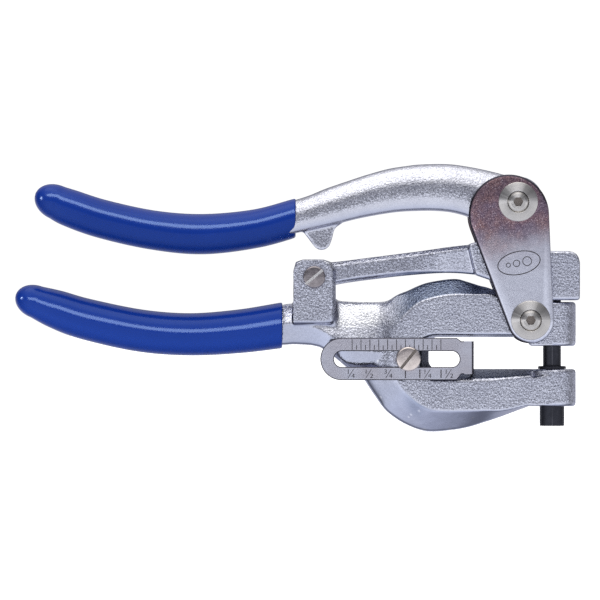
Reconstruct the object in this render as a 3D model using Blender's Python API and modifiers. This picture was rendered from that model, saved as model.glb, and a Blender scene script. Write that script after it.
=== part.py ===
"""Compound-lever sheet-metal hand punch.

Metres, +Z up. X runs from the grips to the jaws, Y across the tool's thickness. The origin is under
the middle of the tool, at the level of the frame's belly. The handles are shown almost closed, with
the punch just in the die.
"""

import math

import bmesh
import bpy
from mathutils import Matrix, Vector

MM = 0.001

# Overall size and the four pivots of the linkage, as (X, Z).
HALF_LENGTH = 101.75 * MM
LEVER_PIVOT = (6.2 * MM, 55.5 * MM)
KNUCKLE = (72.0 * MM, 64.6 * MM)
HANDLE_PIVOT = (79.3 * MM, 82.5 * MM)
LINK_PIVOT = (83.8 * MM, 40.0 * MM)
PUNCH_X = 91.8 * MM

# Thicknesses across the tool, each measured from the middle plane.
FRAME_HALF = 8.5 * MM
NECK_HALF = 6.8 * MM
PLATE_INNER = 10.1 * MM
PLATE_THICKNESS = 2.4 * MM
COLLAR_THICKNESS = 2.35 * MM
LEVER_ARM_HALF = 4.0 * MM
LEVER_HUB_HALF = 9.0 * MM
NOSE_TONGUE_HALF = 3.5 * MM
HANDLE_HALF = 7.8 * MM

# Clearances, and how far a cutter runs past the face it opens.
FIT = 0.1 * MM
RUN = 0.3 * MM
KNUCKLE_PLAY = 0.45 * MM
PIN_RECESS = 0.2 * MM
OVERCUT = 3.0 * MM
FAR = 2 * FRAME_HALF

# Broken edges.
NECK_EDGE = 1.6 * MM
POST_EDGE = 0.9 * MM
NOSE_EDGE = 0.7 * MM
HANDLE_EDGE = 2.0 * MM
HANDLE_HUB_EDGE = 0.6 * MM
LEVER_EDGE = 0.8 * MM
PLATE_EDGE = 0.5 * MM
HEX_EDGE = 0.35 * MM
TURNED_EDGE = 0.5 * MM
PIN_EDGE = 0.4 * MM
PUNCH_EDGE = 0.3 * MM

# Frame.
THROAT_DEPTH = 44.4 * MM
THROAT_FLOOR = 22.5 * MM
THROAT_ROOF = 33.9 * MM
THROAT_BACK_RADIUS = 3.0 * MM
NOSE_RADIUS = 8.55 * MM
UPPER_NOSE = (30.7 * MM, 46.6 * MM)
LOWER_NOSE = (9.1 * MM, 22.5 * MM)
BOW_DRAFT = 6.6 * MM
BOW_RIM_HALF = 2.2 * MM
CLEVIS_FLOOR = 47.6 * MM
CLEVIS_TOP = 70.0 * MM
PUNCH_HOLE_TOP = 60.0 * MM

# Joining hardware.
LINK_SCREW_RADIUS = 3.75 * MM
BUSHING_RADIUS = 5.0 * MM
WASHER_RADIUS = 6.3 * MM
COLLAR_RADIUS = 7.05 * MM
HEX_SOCKET = 3.5 * MM
HEX_SOCKET_DEPTH = 2.2 * MM
PIVOT_SCREW_RADIUS = 2.5 * MM
PIVOT_HEAD_RADIUS = 4.0 * MM
PIVOT_HEAD_HEIGHT = 2.3 * MM
PIVOT_NUT_ACROSS = 8.0 * MM
PIVOT_NUT_HEIGHT = 3.2 * MM
PIVOT_SCREW_STICKOUT = 0.6 * MM
PIVOT_SLOT_ANGLE = math.radians(40)
KNUCKLE_PIN_RADIUS = 2.5 * MM
SCREW_SLOT_WIDTH = 1.3 * MM
SCREW_SLOT_DEPTH = 1.2 * MM

# Side links: two round lobes joined by straight flanks.
PLATE_TOP = (76.0 * MM, 77.9 * MM)
PLATE_TOP_RADIUS = 14.4 * MM
PLATE_FOOT_RADIUS = 8.3 * MM

# Back gauge.
GAUGE_SCREW = (40.0 * MM, 26.1 * MM)
GAUGE_INNER = FRAME_HALF + FIT
GAUGE_THICKNESS = 1.3 * MM
GAUGE_HALF_HEIGHT = 7.56 * MM
GAUGE_LEFT = 8.4 * MM
GAUGE_SLOT = (13.3 * MM, 58.4 * MM)
GAUGE_SLOT_HALF = 2.85 * MM
GAUGE_SHOULDER = 57.4 * MM
GAUGE_SHOULDER_RUN = 1.6 * MM
GAUGE_FOLD = 63.5 * MM
GAUGE_TAB = (20.7 * MM, 32.5 * MM)
FENCE = (23.0 * MM, 30.3 * MM)
FENCE_REACH = 4.0 * MM
GAUGE_SHANK_RADIUS = 2.4 * MM
GAUGE_HEAD_RADIUS = 4.4 * MM
GAUGE_HEAD_HEIGHT = 2.4 * MM
GAUGE_HOLE_END = 1.1 * MM
GAUGE_SLOT_ANGLE = math.radians(51)

# Punch and die.
PUNCH_RADIUS = 3.25 * MM
PUNCH_TIP = 22.9 * MM
PUNCH_HEAD = (49.5 * MM, 51.5 * MM)
PUNCH_HEAD_RADIUS = 4.4 * MM
PUNCH_SLOT_PLAY = 0.7 * MM
PUNCH_SLOT_SWING = 0.9 * MM
DIE_RADIUS = 4.45 * MM
DIE_FLANGE_RADIUS = 5.05 * MM
DIE_FLANGE_HEIGHT = 1.0 * MM
DIE_BOTTOM = 2.0 * MM
DIE_LAND = 3.5 * MM
DIE_RELIEF_RADIUS = 3.8 * MM

# Grips: centre lines as (X, Z, half height) in mm, from the mouth to the tip.
GRIP_WIDTH_RATIO = 1.12
GRIP_WALL = 1.1 * MM
TANG_GAP = 0.2 * MM
MOUTH_TRIM = 2.0
TIP_STRETCH = 1.25
TIP_STATIONS = (0.45, 0.75, 0.93, 0.99)
LOWER_GRIP_LINE = (
    (-5.7, 38.3, 7.95),
    (-20.5, 36.3, 7.6),
    (-38.5, 35.2, 7.4),
    (-56.5, 36.5, 7.4),
    (-76.0, 40.6, 7.3),
    (-93.75, 46.6, 6.6),
)
UPPER_GRIP_LINE = (
    (-0.9, 77.0, 6.8),
    (-15.0, 73.3, 6.9),
    (-34.0, 71.2, 7.0),
    (-52.0, 72.7, 6.95),
    (-70.0, 76.8, 6.7),
    (-86.3, 82.4, 6.1),
)
LOWER_TANG_ROOT = (5.0, 39.0, 6.6)
UPPER_TANG_ROOT = (8.0, 79.6, 5.6)

# Outlines in the middle plane, as (X, Z) in mm, smooth except at a CORNER.
CORNER = "corner"
NECK_OUTLINE = (
    (-5.2, 45.8, CORNER),
    (12.0, 47.2),
    (30.0, 46.9),
    (42.0, 45.0, CORNER),
    (42.0, 12.0, CORNER),
    (28.8, 11.3),
    (22.7, 18.6),
    (9.0, 29.9),
    (1.5, 31.4),
    (-5.2, 31.1, CORNER),
)
BOW_OUTLINE = (
    (22.7, 33.0),
    (26.5, 42.0),
    (34.6, 48.2),
    (46.5, 53.4),
    (56.2, 54.9),
    (66.0, 52.4),
    (84.0, 45.8, CORNER),
    (84.0, 9.3, CORNER),
    (74.4, 5.7),
    (62.0, 1.5),
    (50.1, 0.0),
    (40.0, 2.2),
    (30.5, 9.2),
    (24.0, 20.0),
)
POST_OUTLINE = (
    (-1.3, 39.0),
    (-1.3, 57.6),
    (2.2, 61.9),
    (9.4, 61.9),
    (12.9, 57.6),
    (12.9, 39.0),
)
HANDLE_OUTLINE = (
    (-0.4, 83.2, CORNER),
    (4.3, 84.9),
    (17.3, 89.8),
    (32.8, 94.5),
    (44.3, 96.1),
    (54.7, 96.2),
    (67.3, 94.2),
    (77.0, 91.9),
    (85.5, 88.6),
    (88.2, 82.0),
    (84.0, 75.0),
    (74.0, 73.5),
    (66.0, 75.2),
    (60.5, 77.6),
    (54.0, 79.1),
    (44.3, 79.4),
    (30.0, 77.9),
    (15.7, 75.0),
    (13.2, 72.0),
    (11.6, 66.7),
    (9.0, 65.3),
    (6.6, 66.8),
    (2.6, 71.6),
    (-0.4, 71.2, CORNER),
)
HANDLE_NOSE_RADIUS = 5.0 * MM
HANDLE_HUB_RADIUS = 9.2 * MM
TONGUE_SWELL = 1.5 * MM
LEVER_ARM_OUTLINE = (
    (6.2, 60.9),
    (12.4, 60.8),
    (44.3, 64.9),
    (62.0, 67.1),
    (68.0, 65.0),
    (67.0, 59.0),
    (58.0, 57.0),
    (44.3, 56.4),
    (13.9, 52.7),
    (6.2, 50.3),
    (1.6, 52.5),
    (0.8, 55.6),
    (2.4, 59.4),
)
LEVER_HUB_OUTLINE = (
    (60.9, 67.5),
    (64.0, 67.9),
    (68.5, 70.4),
    (74.0, 70.6),
    (80.0, 68.0),
    (87.0, 65.2),
    (98.2, 64.9),
    (101.0, 63.6),
    (101.75, 61.0),
    (101.75, 47.05),
    (84.8, 47.05),
    (80.0, 49.9),
    (74.0, 52.8),
    (67.0, 55.3),
    (63.8, 56.2),
)
FORK_FLOOR = 58.7 * MM
FORK_TOP = 90.0 * MM
FORK_REACH = (7.5 * MM, 13.5 * MM)

# Facets in a full turn of round work.
ROUND = 40
SMALL_ROUND = 24

COLLECTION = "sheet_metal_hand_punch"
CUTTERS = "cutters"


def clear_scene():
    for item in list(bpy.data.objects):
        bpy.data.objects.remove(item)


def collection(name):
    made = bpy.data.collections.new(name)
    bpy.context.scene.collection.children.link(made)
    return made


def principled(name, colour, metallic, roughness):
    made = bpy.data.materials.new(name)
    made.use_nodes = True
    shader = made.node_tree.nodes["Principled BSDF"]
    shader.inputs["Base Color"].default_value = (*colour, 1.0)
    shader.inputs["Metallic"].default_value = metallic
    shader.inputs["Roughness"].default_value = roughness
    made.diffuse_color = (*colour, 1.0)
    return made


def add(name, mesh, as_cutter=False):
    item = bpy.data.objects.new(name, mesh)
    bpy.data.collections[CUTTERS if as_cutter else COLLECTION].objects.link(item)
    if as_cutter:
        item.hide_render = True
        item.display_type = "WIRE"
    return item


def in_metres(points):
    return [(x * MM, z * MM, *kind) for x, z, *kind in points]


def flat_mesh(name, points, half):
    """A closed outline in the XZ plane, thick by `half` each way."""
    made = bmesh.new()
    near = [made.verts.new((x, -half, z)) for x, z, *_ in points]
    face = made.faces.new(near)
    grown = bmesh.ops.extrude_face_region(made, geom=[face])
    moved = [item for item in grown["geom"] if isinstance(item, bmesh.types.BMVert)]
    bmesh.ops.translate(made, verts=moved, vec=(0.0, 2 * half, 0.0))
    bmesh.ops.recalc_face_normals(made, faces=made.faces)
    mesh = bpy.data.meshes.new(name)
    made.to_mesh(mesh)
    made.free()
    return mesh


def smooth_points(name, points, resolution):
    """The points of a closed curve through `points`, smooth except at each one marked CORNER."""
    curve = bpy.data.curves.new(name, "CURVE")
    curve.dimensions = "2D"
    curve.resolution_u = resolution
    spline = curve.splines.new("BEZIER")
    spline.bezier_points.add(len(points) - 1)
    spline.use_cyclic_u = True
    for knot, (x, z, *kind) in zip(spline.bezier_points, points):
        knot.co = (x, z, 0.0)
        knot.handle_left_type = "VECTOR" if kind else "AUTO"
        knot.handle_right_type = "VECTOR" if kind else "AUTO"
    guide = bpy.data.objects.new(name, curve)
    bpy.data.collections[CUTTERS].objects.link(guide)
    bpy.context.view_layer.update()
    mesh = bpy.data.meshes.new_from_object(guide)
    found = [(point.co.x, point.co.y) for point in mesh.vertices]
    bpy.data.objects.remove(guide)
    bpy.data.meshes.remove(mesh)
    return found


def arc(centre, radius, start, end, steps):
    """Points of an arc in the XZ plane, angles in radians from +X towards +Z."""
    turns = [start + (end - start) * step / steps for step in range(steps + 1)]
    return [(centre[0] + radius * math.cos(turn), centre[1] + radius * math.sin(turn)) for turn in turns]


def lobed_outline(top, top_radius, foot, foot_radius, steps):
    """Two arcs joined by their outer tangents, from the right flank round the top to the left flank."""
    along = Vector((top[0] - foot[0], top[1] - foot[1]))
    heading = math.atan2(along.y, along.x)
    spread = math.acos((foot_radius - top_radius) / along.length)
    over = arc(top, top_radius, heading - spread, heading + spread, steps)
    under = arc(foot, foot_radius, heading + spread, heading - spread + 2 * math.pi, steps // 2)
    return over + under


def bevel(item, width, segments=1, angle=math.radians(40)):
    made = item.modifiers.new("edges", "BEVEL")
    made.width = width
    made.segments = segments
    made.limit_method = "ANGLE"
    made.angle_limit = angle
    made.use_clamp_overlap = True
    return item


def combine(item, operation, others):
    for other in others:
        made = item.modifiers.new(other.name, "BOOLEAN")
        made.operation = operation
        made.solver = "EXACT"
        made.object = other
    return item


def shade_smooth(item, angle=math.radians(35)):
    item.data.shade_smooth()
    item.data.set_sharp_from_angle(angle=angle)
    return item


def block(name, low, high):
    """A box between two corners."""
    size = Vector(high) - Vector(low)
    middle = (Vector(high) + Vector(low)) / 2
    bpy.ops.mesh.primitive_cube_add(size=1.0, location=middle)
    item = bpy.context.object
    item.name = name
    item.data.transform(Matrix.Diagonal((*size, 1.0)))
    return to_cutters(item)


def rod(name, centre, radius, start, end, axis="Y", facets=ROUND):
    """A cylinder along Y or Z between two stations."""
    half = (end - start) / 2
    station = (start + end) / 2
    along_y = axis == "Y"
    where = (centre[0], station, centre[1]) if along_y else (centre[0], centre[1], station)
    turn = (math.radians(90), 0.0, 0.0) if along_y else (0.0, 0.0, 0.0)
    bpy.ops.mesh.primitive_cylinder_add(vertices=facets, radius=radius, depth=2 * half, location=where)
    bpy.context.object.rotation_euler = turn
    item = bpy.context.object
    item.name = name
    return to_cutters(item)


def to_cutters(item):
    for home in list(item.users_collection):
        home.objects.unlink(item)
    bpy.data.collections[CUTTERS].objects.link(item)
    item.hide_render = True
    item.display_type = "WIRE"
    return item


def lathe(name, profile, facets=ROUND, hollow=False, as_cutter=False):
    """A turned piece about local Z. The profile is (radius, height) downwards, closed when hollow."""
    made = bmesh.new()
    points = [made.verts.new((radius, 0.0, height)) for radius, height in profile]
    for first, second in zip(points, points[1:] + points[:1] if hollow else points[1:]):
        made.edges.new((first, second))
    mesh = bpy.data.meshes.new(name)
    made.to_mesh(mesh)
    made.free()
    item = add(name, mesh, as_cutter)
    screw = item.modifiers.new("turned", "SCREW")
    screw.steps = facets
    screw.render_steps = facets
    screw.use_merge_vertices = True
    screw.merge_threshold = 0.00001
    screw.use_smooth_shade = False
    return item


def across(item, centre, y):
    """Lays a turned piece along Y at (X, Z), with its local +Z towards the front."""
    item.rotation_euler = (math.radians(90), 0.0, 0.0)
    item.location = (centre[0], y, centre[1])
    return item


def tube(name, line, inset, round_tip, as_cutter=False):
    """An oval bar along a centre line of (X, Z, half height) in mm, thinned all round by `inset`."""
    curve = bpy.data.curves.new(name, "CURVE")
    curve.dimensions = "3D"
    curve.resolution_u = 3
    curve.bevel_depth = 1.0
    curve.bevel_resolution = 3
    curve.use_fill_caps = True
    curve.twist_mode = "Z_UP"
    knots = [(x * MM, z * MM, half * MM - inset) for x, z, half in line]
    if round_tip:
        last, before = Vector(knots[-1]), Vector(knots[-2])
        heading = (last.xy - before.xy).normalized()
        reach = last.z * TIP_STRETCH
        for share in TIP_STATIONS:
            centre = last.xy + heading * reach * share
            knots.append((*centre, last.z * math.sqrt(1.0 - share * share)))
    spline = curve.splines.new("BEZIER")
    spline.bezier_points.add(len(knots) - 1)
    for knot, (x, z, radius) in zip(spline.bezier_points, knots):
        knot.co = (x, 0.0, z)
        knot.radius = radius
        knot.handle_left_type = "AUTO"
        knot.handle_right_type = "AUTO"
    guide = bpy.data.objects.new(name, curve)
    bpy.data.collections[CUTTERS].objects.link(guide)
    bpy.context.view_layer.update()
    mesh = bpy.data.meshes.new_from_object(guide)
    bpy.data.objects.remove(guide)
    mesh.transform(Matrix.Diagonal((1.0, GRIP_WIDTH_RATIO, 1.0, 1.0)))
    made = bmesh.new()
    made.from_mesh(mesh)
    bmesh.ops.remove_doubles(made, verts=made.verts, dist=0.00001)
    bmesh.ops.recalc_face_normals(made, faces=made.faces)
    made.to_mesh(mesh)
    made.free()
    mesh.name = name
    return add(name, mesh, as_cutter)


def hex_socket(name, centre, face_y, across_flats, depth):
    return rod(name, centre, across_flats / math.sqrt(3), face_y - OVERCUT, face_y + depth, facets=6)


def screw_slot(name, centre, face_y, width, depth, reach, angle):
    """A driver slot across a head whose front face is at `face_y`."""
    made = block(name, (-reach, face_y - OVERCUT, -width / 2), (reach, face_y + depth, width / 2))
    made.location = (centre[0], made.location.y, centre[1])
    made.rotation_euler = (0.0, -angle, 0.0)
    return made


def draft(mesh, rim_half, face_half):
    """Squeezes an even chamfer across Y, so that its faces end at `face_half` and its rim at `rim_half`."""
    tallest = max(point.co.y for point in mesh.vertices)
    mesh.transform(Matrix.Diagonal((1.0, face_half / tallest, 1.0, 1.0)))
    return mesh


def frame_bow():
    points = smooth_points("bow_line", in_metres(BOW_OUTLINE), 2)
    rough_half = BOW_DRAFT * FRAME_HALF / (FRAME_HALF - BOW_RIM_HALF)
    item = add("bow_rough", flat_mesh("bow_rough", points, rough_half), True)
    bevel(item, BOW_DRAFT, 2, math.radians(60))
    bpy.context.view_layer.update()
    shaped = item.evaluated_get(bpy.context.evaluated_depsgraph_get())
    mesh = bpy.data.meshes.new_from_object(shaped)
    bpy.data.objects.remove(item)
    return add("bow", draft(mesh, BOW_RIM_HALF, FRAME_HALF), True)


def throat_cutter():
    back = PUNCH_X - THROAT_DEPTH
    corner = THROAT_BACK_RADIUS
    end = HALF_LENGTH + OVERCUT
    low_corner = (back + corner, THROAT_FLOOR + corner)
    high_corner = (back + corner, THROAT_ROOF - corner)
    points = arc(low_corner, corner, -math.pi / 2, -math.pi, 4)
    points += arc(high_corner, corner, math.pi, math.pi / 2, 4)
    points += [(end, THROAT_ROOF), (end, THROAT_FLOOR)]
    return add("throat", flat_mesh("throat", points, FRAME_HALF + OVERCUT), True)


def frame_body():
    neck_points = smooth_points("neck_line", in_metres(NECK_OUTLINE), 1)
    item = add("frame_body", flat_mesh("frame_body", neck_points, NECK_HALF))
    bevel(item, NECK_EDGE, 2)
    bow = frame_bow()
    post = add("post", flat_mesh("post", in_metres(POST_OUTLINE), FRAME_HALF), True)
    bevel(post, POST_EDGE)
    tang = tube("lower_tang", (LOWER_TANG_ROOT,) + LOWER_GRIP_LINE, GRIP_WALL + TANG_GAP, True, True)
    combine(item, "UNION", [bow])
    combine(item, "DIFFERENCE", [throat_cutter()])
    upper = bevel(rod("upper_nose", (PUNCH_X, 0.0), NOSE_RADIUS, *UPPER_NOSE, axis="Z"), NOSE_EDGE)
    lower = bevel(rod("lower_nose", (PUNCH_X, 0.0), NOSE_RADIUS, *LOWER_NOSE, axis="Z"), NOSE_EDGE)
    combine(item, "UNION", [upper, lower, post, tang])
    clevis_half = LEVER_ARM_HALF + RUN
    reach = (POST_OUTLINE[0][0] * MM - OVERCUT, POST_OUTLINE[-1][0] * MM + OVERCUT)
    clevis = block("clevis", (reach[0], -clevis_half, CLEVIS_FLOOR), (reach[1], clevis_half, CLEVIS_TOP))
    pivot_hole = rod("pivot_hole", LEVER_PIVOT, PIVOT_SCREW_RADIUS + FIT, -FAR, FAR)
    link_hole = rod("link_hole", LINK_PIVOT, LINK_SCREW_RADIUS + FIT, -FAR, FAR)
    above = THROAT_FLOOR + OVERCUT
    punch_hole = rod("punch_hole", (PUNCH_X, 0.0), PUNCH_RADIUS + FIT, above, PUNCH_HOLE_TOP, axis="Z")
    die_hole = rod("die_hole", (PUNCH_X, 0.0), DIE_RADIUS + FIT, -OVERCUT, above, axis="Z")
    tapped = rod("gauge_hole", GAUGE_SCREW, GAUGE_SHANK_RADIUS + FIT, -FAR, GAUGE_HOLE_END)
    combine(item, "DIFFERENCE", [clevis, pivot_hole, link_hole, punch_hole, die_hole, tapped])
    return shade_smooth(item)


def lengthened(line, reach):
    """The centre line with its first station moved out along the line by `reach` mm."""
    first, second = Vector(line[0]), Vector(line[1])
    outward = (first.xy - second.xy).normalized() * reach
    return ((first.x + outward.x, first.y + outward.y, first.z),) + line


def grip(name, line):
    """A dipped sleeve: round at the tip, cut square at the mouth."""
    item = tube(name, lengthened(line, MOUTH_TRIM), 0.0, True)
    cavity = tube(name + "_cavity", lengthened(line, 2 * MOUTH_TRIM), GRIP_WALL, True, True)
    mouth = line[0][0] * MM
    low = (mouth, -FAR, line[0][1] * MM - FAR)
    high = (mouth + FAR, FAR, line[0][1] * MM + FAR)
    combine(item, "DIFFERENCE", [cavity, block(name + "_mouth", low, high)])
    return shade_smooth(item, math.radians(50))


def upper_handle():
    points = smooth_points("handle_line", in_metres(HANDLE_OUTLINE), 2)
    item = add("upper_handle", flat_mesh("upper_handle", points, HANDLE_HALF))
    bevel(item, HANDLE_EDGE, 2, math.radians(60))
    hub = rod("handle_hub", HANDLE_PIVOT, HANDLE_HUB_RADIUS, -FRAME_HALF, FRAME_HALF)
    bevel(hub, HANDLE_HUB_EDGE)
    swollen = HANDLE_NOSE_RADIUS + TONGUE_SWELL
    tongue_points = lobed_outline(HANDLE_PIVOT, swollen, KNUCKLE, HANDLE_NOSE_RADIUS, 16)
    tongue = add("tongue", flat_mesh("tongue", tongue_points, NOSE_TONGUE_HALF), True)
    tang = tube("upper_tang", (UPPER_TANG_ROOT,) + UPPER_GRIP_LINE, GRIP_WALL + TANG_GAP, True, True)
    combine(item, "UNION", [hub, tongue, tang])
    bearing = rod("handle_bearing", HANDLE_PIVOT, BUSHING_RADIUS + FIT, -FAR, FAR)
    knuckle = rod("knuckle_hole", KNUCKLE, KNUCKLE_PIN_RADIUS + KNUCKLE_PLAY, -FRAME_HALF, FRAME_HALF)
    combine(item, "DIFFERENCE", [bearing, knuckle])
    return shade_smooth(item)


def punch_lever():
    points = smooth_points("lever_line", in_metres(LEVER_ARM_OUTLINE), 1)
    item = add("punch_lever", flat_mesh("punch_lever", points, LEVER_ARM_HALF))
    bevel(item, LEVER_EDGE)
    hub = add("lever_hub", flat_mesh("lever_hub", in_metres(LEVER_HUB_OUTLINE), LEVER_HUB_HALF), True)
    bevel(hub, LEVER_EDGE)
    combine(item, "UNION", [hub])
    fork_half = NOSE_TONGUE_HALF + RUN
    low = (KNUCKLE[0] - FORK_REACH[0], -fork_half, FORK_FLOOR)
    high = (KNUCKLE[0] + FORK_REACH[1], fork_half, FORK_TOP)
    fork = block("fork", low, high)
    pivot_hole = rod("lever_pivot_hole", LEVER_PIVOT, PIVOT_SCREW_RADIUS + FIT, -FRAME_HALF, FRAME_HALF)
    pin_hole = rod("pin_hole", KNUCKLE, KNUCKLE_PIN_RADIUS + FIT, -FAR, FAR)
    lip = PUNCH_HEAD[0] - PUNCH_SLOT_PLAY
    roof = PUNCH_HEAD[1] + PUNCH_SLOT_PLAY
    wide = PUNCH_HEAD_RADIUS + RUN
    narrow = PUNCH_RADIUS + RUN
    end = HALF_LENGTH + OVERCUT
    inside = PUNCH_X - wide - PUNCH_SLOT_SWING
    head_slot = block("punch_head_slot", (inside, -wide, lip), (end, wide, roof))
    inside = PUNCH_X - narrow - PUNCH_SLOT_SWING
    low = (inside, -narrow, lip - 2 * OVERCUT)
    neck_slot = block("punch_neck_slot", low, (end, narrow, roof - OVERCUT / 2))
    combine(item, "DIFFERENCE", [fork, pivot_hole, pin_hole, head_slot, neck_slot])
    return shade_smooth(item)


def side_plate(name, side):
    outline = lobed_outline(PLATE_TOP, PLATE_TOP_RADIUS, LINK_PIVOT, PLATE_FOOT_RADIUS, 32)
    mesh = flat_mesh(name, outline, PLATE_THICKNESS / 2)
    middle = side * (PLATE_INNER + PLATE_THICKNESS / 2)
    mesh.transform(Matrix.Translation((0.0, middle, 0.0)))
    item = bevel(add(name, mesh), PLATE_EDGE)
    holes = [
        rod(name + "_upper_hole", HANDLE_PIVOT, LINK_SCREW_RADIUS + FIT, -FAR, FAR),
        rod(name + "_lower_hole", LINK_PIVOT, LINK_SCREW_RADIUS + FIT, -FAR, FAR),
    ]
    combine(item, "DIFFERENCE", holes)
    return shade_smooth(item)


def link_screw(name, centre):
    """Headed at the back, with a hex socket in its front end."""
    outside = PLATE_INNER + PLATE_THICKNESS + FIT / 2
    head_end = -(outside + COLLAR_THICKNESS)
    tip = outside + COLLAR_THICKNESS - RUN
    edge = TURNED_EDGE
    profile = [
        (0.0, tip),
        (LINK_SCREW_RADIUS - edge, tip),
        (LINK_SCREW_RADIUS, tip - edge),
        (LINK_SCREW_RADIUS, -outside),
        (COLLAR_RADIUS, -outside),
        (COLLAR_RADIUS, head_end + 2 * edge),
        (COLLAR_RADIUS - 2 * edge, head_end),
        (0.0, head_end),
    ]
    item = across(lathe(name, profile), centre, 0.0)
    socket = hex_socket(name + "_socket", centre, -tip, HEX_SOCKET, HEX_SOCKET_DEPTH)
    return shade_smooth(combine(item, "DIFFERENCE", [socket]))


def link_nut(name, centre):
    inside = PLATE_INNER + PLATE_THICKNESS + FIT / 2
    front = inside + COLLAR_THICKNESS
    edge = TURNED_EDGE
    bore = LINK_SCREW_RADIUS + FIT
    profile = [
        (bore, front - edge),
        (bore + edge, front),
        (COLLAR_RADIUS - 2 * edge, front),
        (COLLAR_RADIUS, front - 2 * edge),
        (COLLAR_RADIUS, inside),
        (bore, inside),
    ]
    return across(lathe(name, profile, hollow=True), centre, 0.0)


def ring(name, centre, radius, start, end):
    """A plain ring on a link bolt, between two stations across the tool."""
    bore = LINK_SCREW_RADIUS + FIT
    profile = [(bore, end), (radius, end), (radius, start), (bore, start)]
    return shade_smooth(across(lathe(name, profile, hollow=True), centre, 0.0))


def washer(name, centre, side):
    """A thrust washer that keeps a link clear of the gauge plate."""
    inner, outer = FRAME_HALF + FIT, PLATE_INNER - FIT
    start, end = (inner, outer) if side < 0 else (-outer, -inner)
    return ring(name, centre, WASHER_RADIUS, start, end)


def slotted_screw(name, centre, face, shank, shank_end, head, head_height, slot_angle):
    """A cheese-head screw whose head sits on the plane Y = -face, with its slot across the front."""
    seat = face + FIT / 2
    top = seat + head_height
    edge = TURNED_EDGE
    profile = [
        (0.0, top),
        (head - edge, top),
        (head, top - edge),
        (head, seat),
        (shank, seat),
        (shank, -shank_end + edge),
        (shank - edge, -shank_end),
        (0.0, -shank_end),
    ]
    item = across(lathe(name, profile, SMALL_ROUND), centre, 0.0)
    slot = screw_slot(name + "_slot", centre, -top, SCREW_SLOT_WIDTH, SCREW_SLOT_DEPTH, 2 * head, slot_angle)
    return shade_smooth(combine(item, "DIFFERENCE", [slot]))


def pivot_nut():
    start = FRAME_HALF + FIT / 2
    radius = PIVOT_NUT_ACROSS / math.sqrt(3)
    bpy.ops.mesh.primitive_cylinder_add(vertices=6, radius=radius, depth=PIVOT_NUT_HEIGHT)
    made = bpy.context.object
    mesh = made.data
    mesh.transform(Matrix.Rotation(math.radians(90), 4, "X"))
    mesh.transform(Matrix.Translation((0.0, start + PIVOT_NUT_HEIGHT / 2, 0.0)))
    bpy.data.objects.remove(made)
    item = add("lever_pivot_nut", mesh)
    item.location = (LEVER_PIVOT[0], 0.0, LEVER_PIVOT[1])
    bevel(item, HEX_EDGE)
    bore = rod("nut_bore", LEVER_PIVOT, PIVOT_SCREW_RADIUS + FIT, 0.0, FAR + FRAME_HALF, facets=SMALL_ROUND)
    return combine(item, "DIFFERENCE", [bore])


def knuckle_pin():
    end = LEVER_HUB_HALF - PIN_RECESS
    edge = PIN_EDGE
    radius = KNUCKLE_PIN_RADIUS
    profile = [(0.0, end), (radius - edge, end), (radius, end - edge)]
    profile += [(radius, edge - end), (radius - edge, -end), (0.0, -end)]
    return shade_smooth(across(lathe("knuckle_pin", profile, SMALL_ROUND), KNUCKLE, 0.0))


def gauge_plate():
    middle = GAUGE_SCREW[1]
    low, high = middle - GAUGE_HALF_HEIGHT, middle + GAUGE_HALF_HEIGHT
    end_centre = (GAUGE_LEFT + GAUGE_HALF_HEIGHT, middle)
    round_end = arc(end_centre, GAUGE_HALF_HEIGHT, math.pi / 2, 1.5 * math.pi, 14)
    outline = round_end + [
        (GAUGE_SHOULDER, low),
        (GAUGE_SHOULDER + GAUGE_SHOULDER_RUN, GAUGE_TAB[0]),
        (GAUGE_FOLD, GAUGE_TAB[0]),
        (GAUGE_FOLD, GAUGE_TAB[1]),
        (GAUGE_SHOULDER + GAUGE_SHOULDER_RUN, GAUGE_TAB[1]),
        (GAUGE_SHOULDER, high),
    ]
    mesh = flat_mesh("gauge_plate", outline, GAUGE_THICKNESS / 2)
    mesh.transform(Matrix.Translation((0.0, -GAUGE_INNER - GAUGE_THICKNESS / 2, 0.0)))
    item = add("gauge_plate", mesh)
    outside = GAUGE_INNER + GAUGE_THICKNESS
    fold_low = (GAUGE_FOLD - GAUGE_THICKNESS, -outside + FIT, FENCE[0])
    fold = block("fence_fold", fold_low, (GAUGE_FOLD, FENCE_REACH, FENCE[1]))
    left = (GAUGE_SLOT[0] + GAUGE_SLOT_HALF, middle)
    right = (GAUGE_SLOT[1] - GAUGE_SLOT_HALF, middle)
    slot_line = arc(left, GAUGE_SLOT_HALF, math.pi / 2, 1.5 * math.pi, 10)
    slot_line += arc(right, GAUGE_SLOT_HALF, -math.pi / 2, math.pi / 2, 10)
    slot = add("gauge_slot", flat_mesh("gauge_slot", slot_line, 2 * FRAME_HALF), True)
    combine(item, "UNION", [fold])
    combine(item, "DIFFERENCE", [slot])
    return shade_smooth(item)


def punch():
    edge = PUNCH_EDGE
    low, high = PUNCH_HEAD
    profile = [
        (0.0, high),
        (PUNCH_HEAD_RADIUS - edge, high),
        (PUNCH_HEAD_RADIUS, high - edge),
        (PUNCH_HEAD_RADIUS, low),
        (PUNCH_RADIUS, low),
        (PUNCH_RADIUS, PUNCH_TIP),
        (0.0, PUNCH_TIP),
    ]
    item = lathe("punch", profile)
    item.location = (PUNCH_X, 0.0, 0.0)
    return shade_smooth(item)


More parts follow.
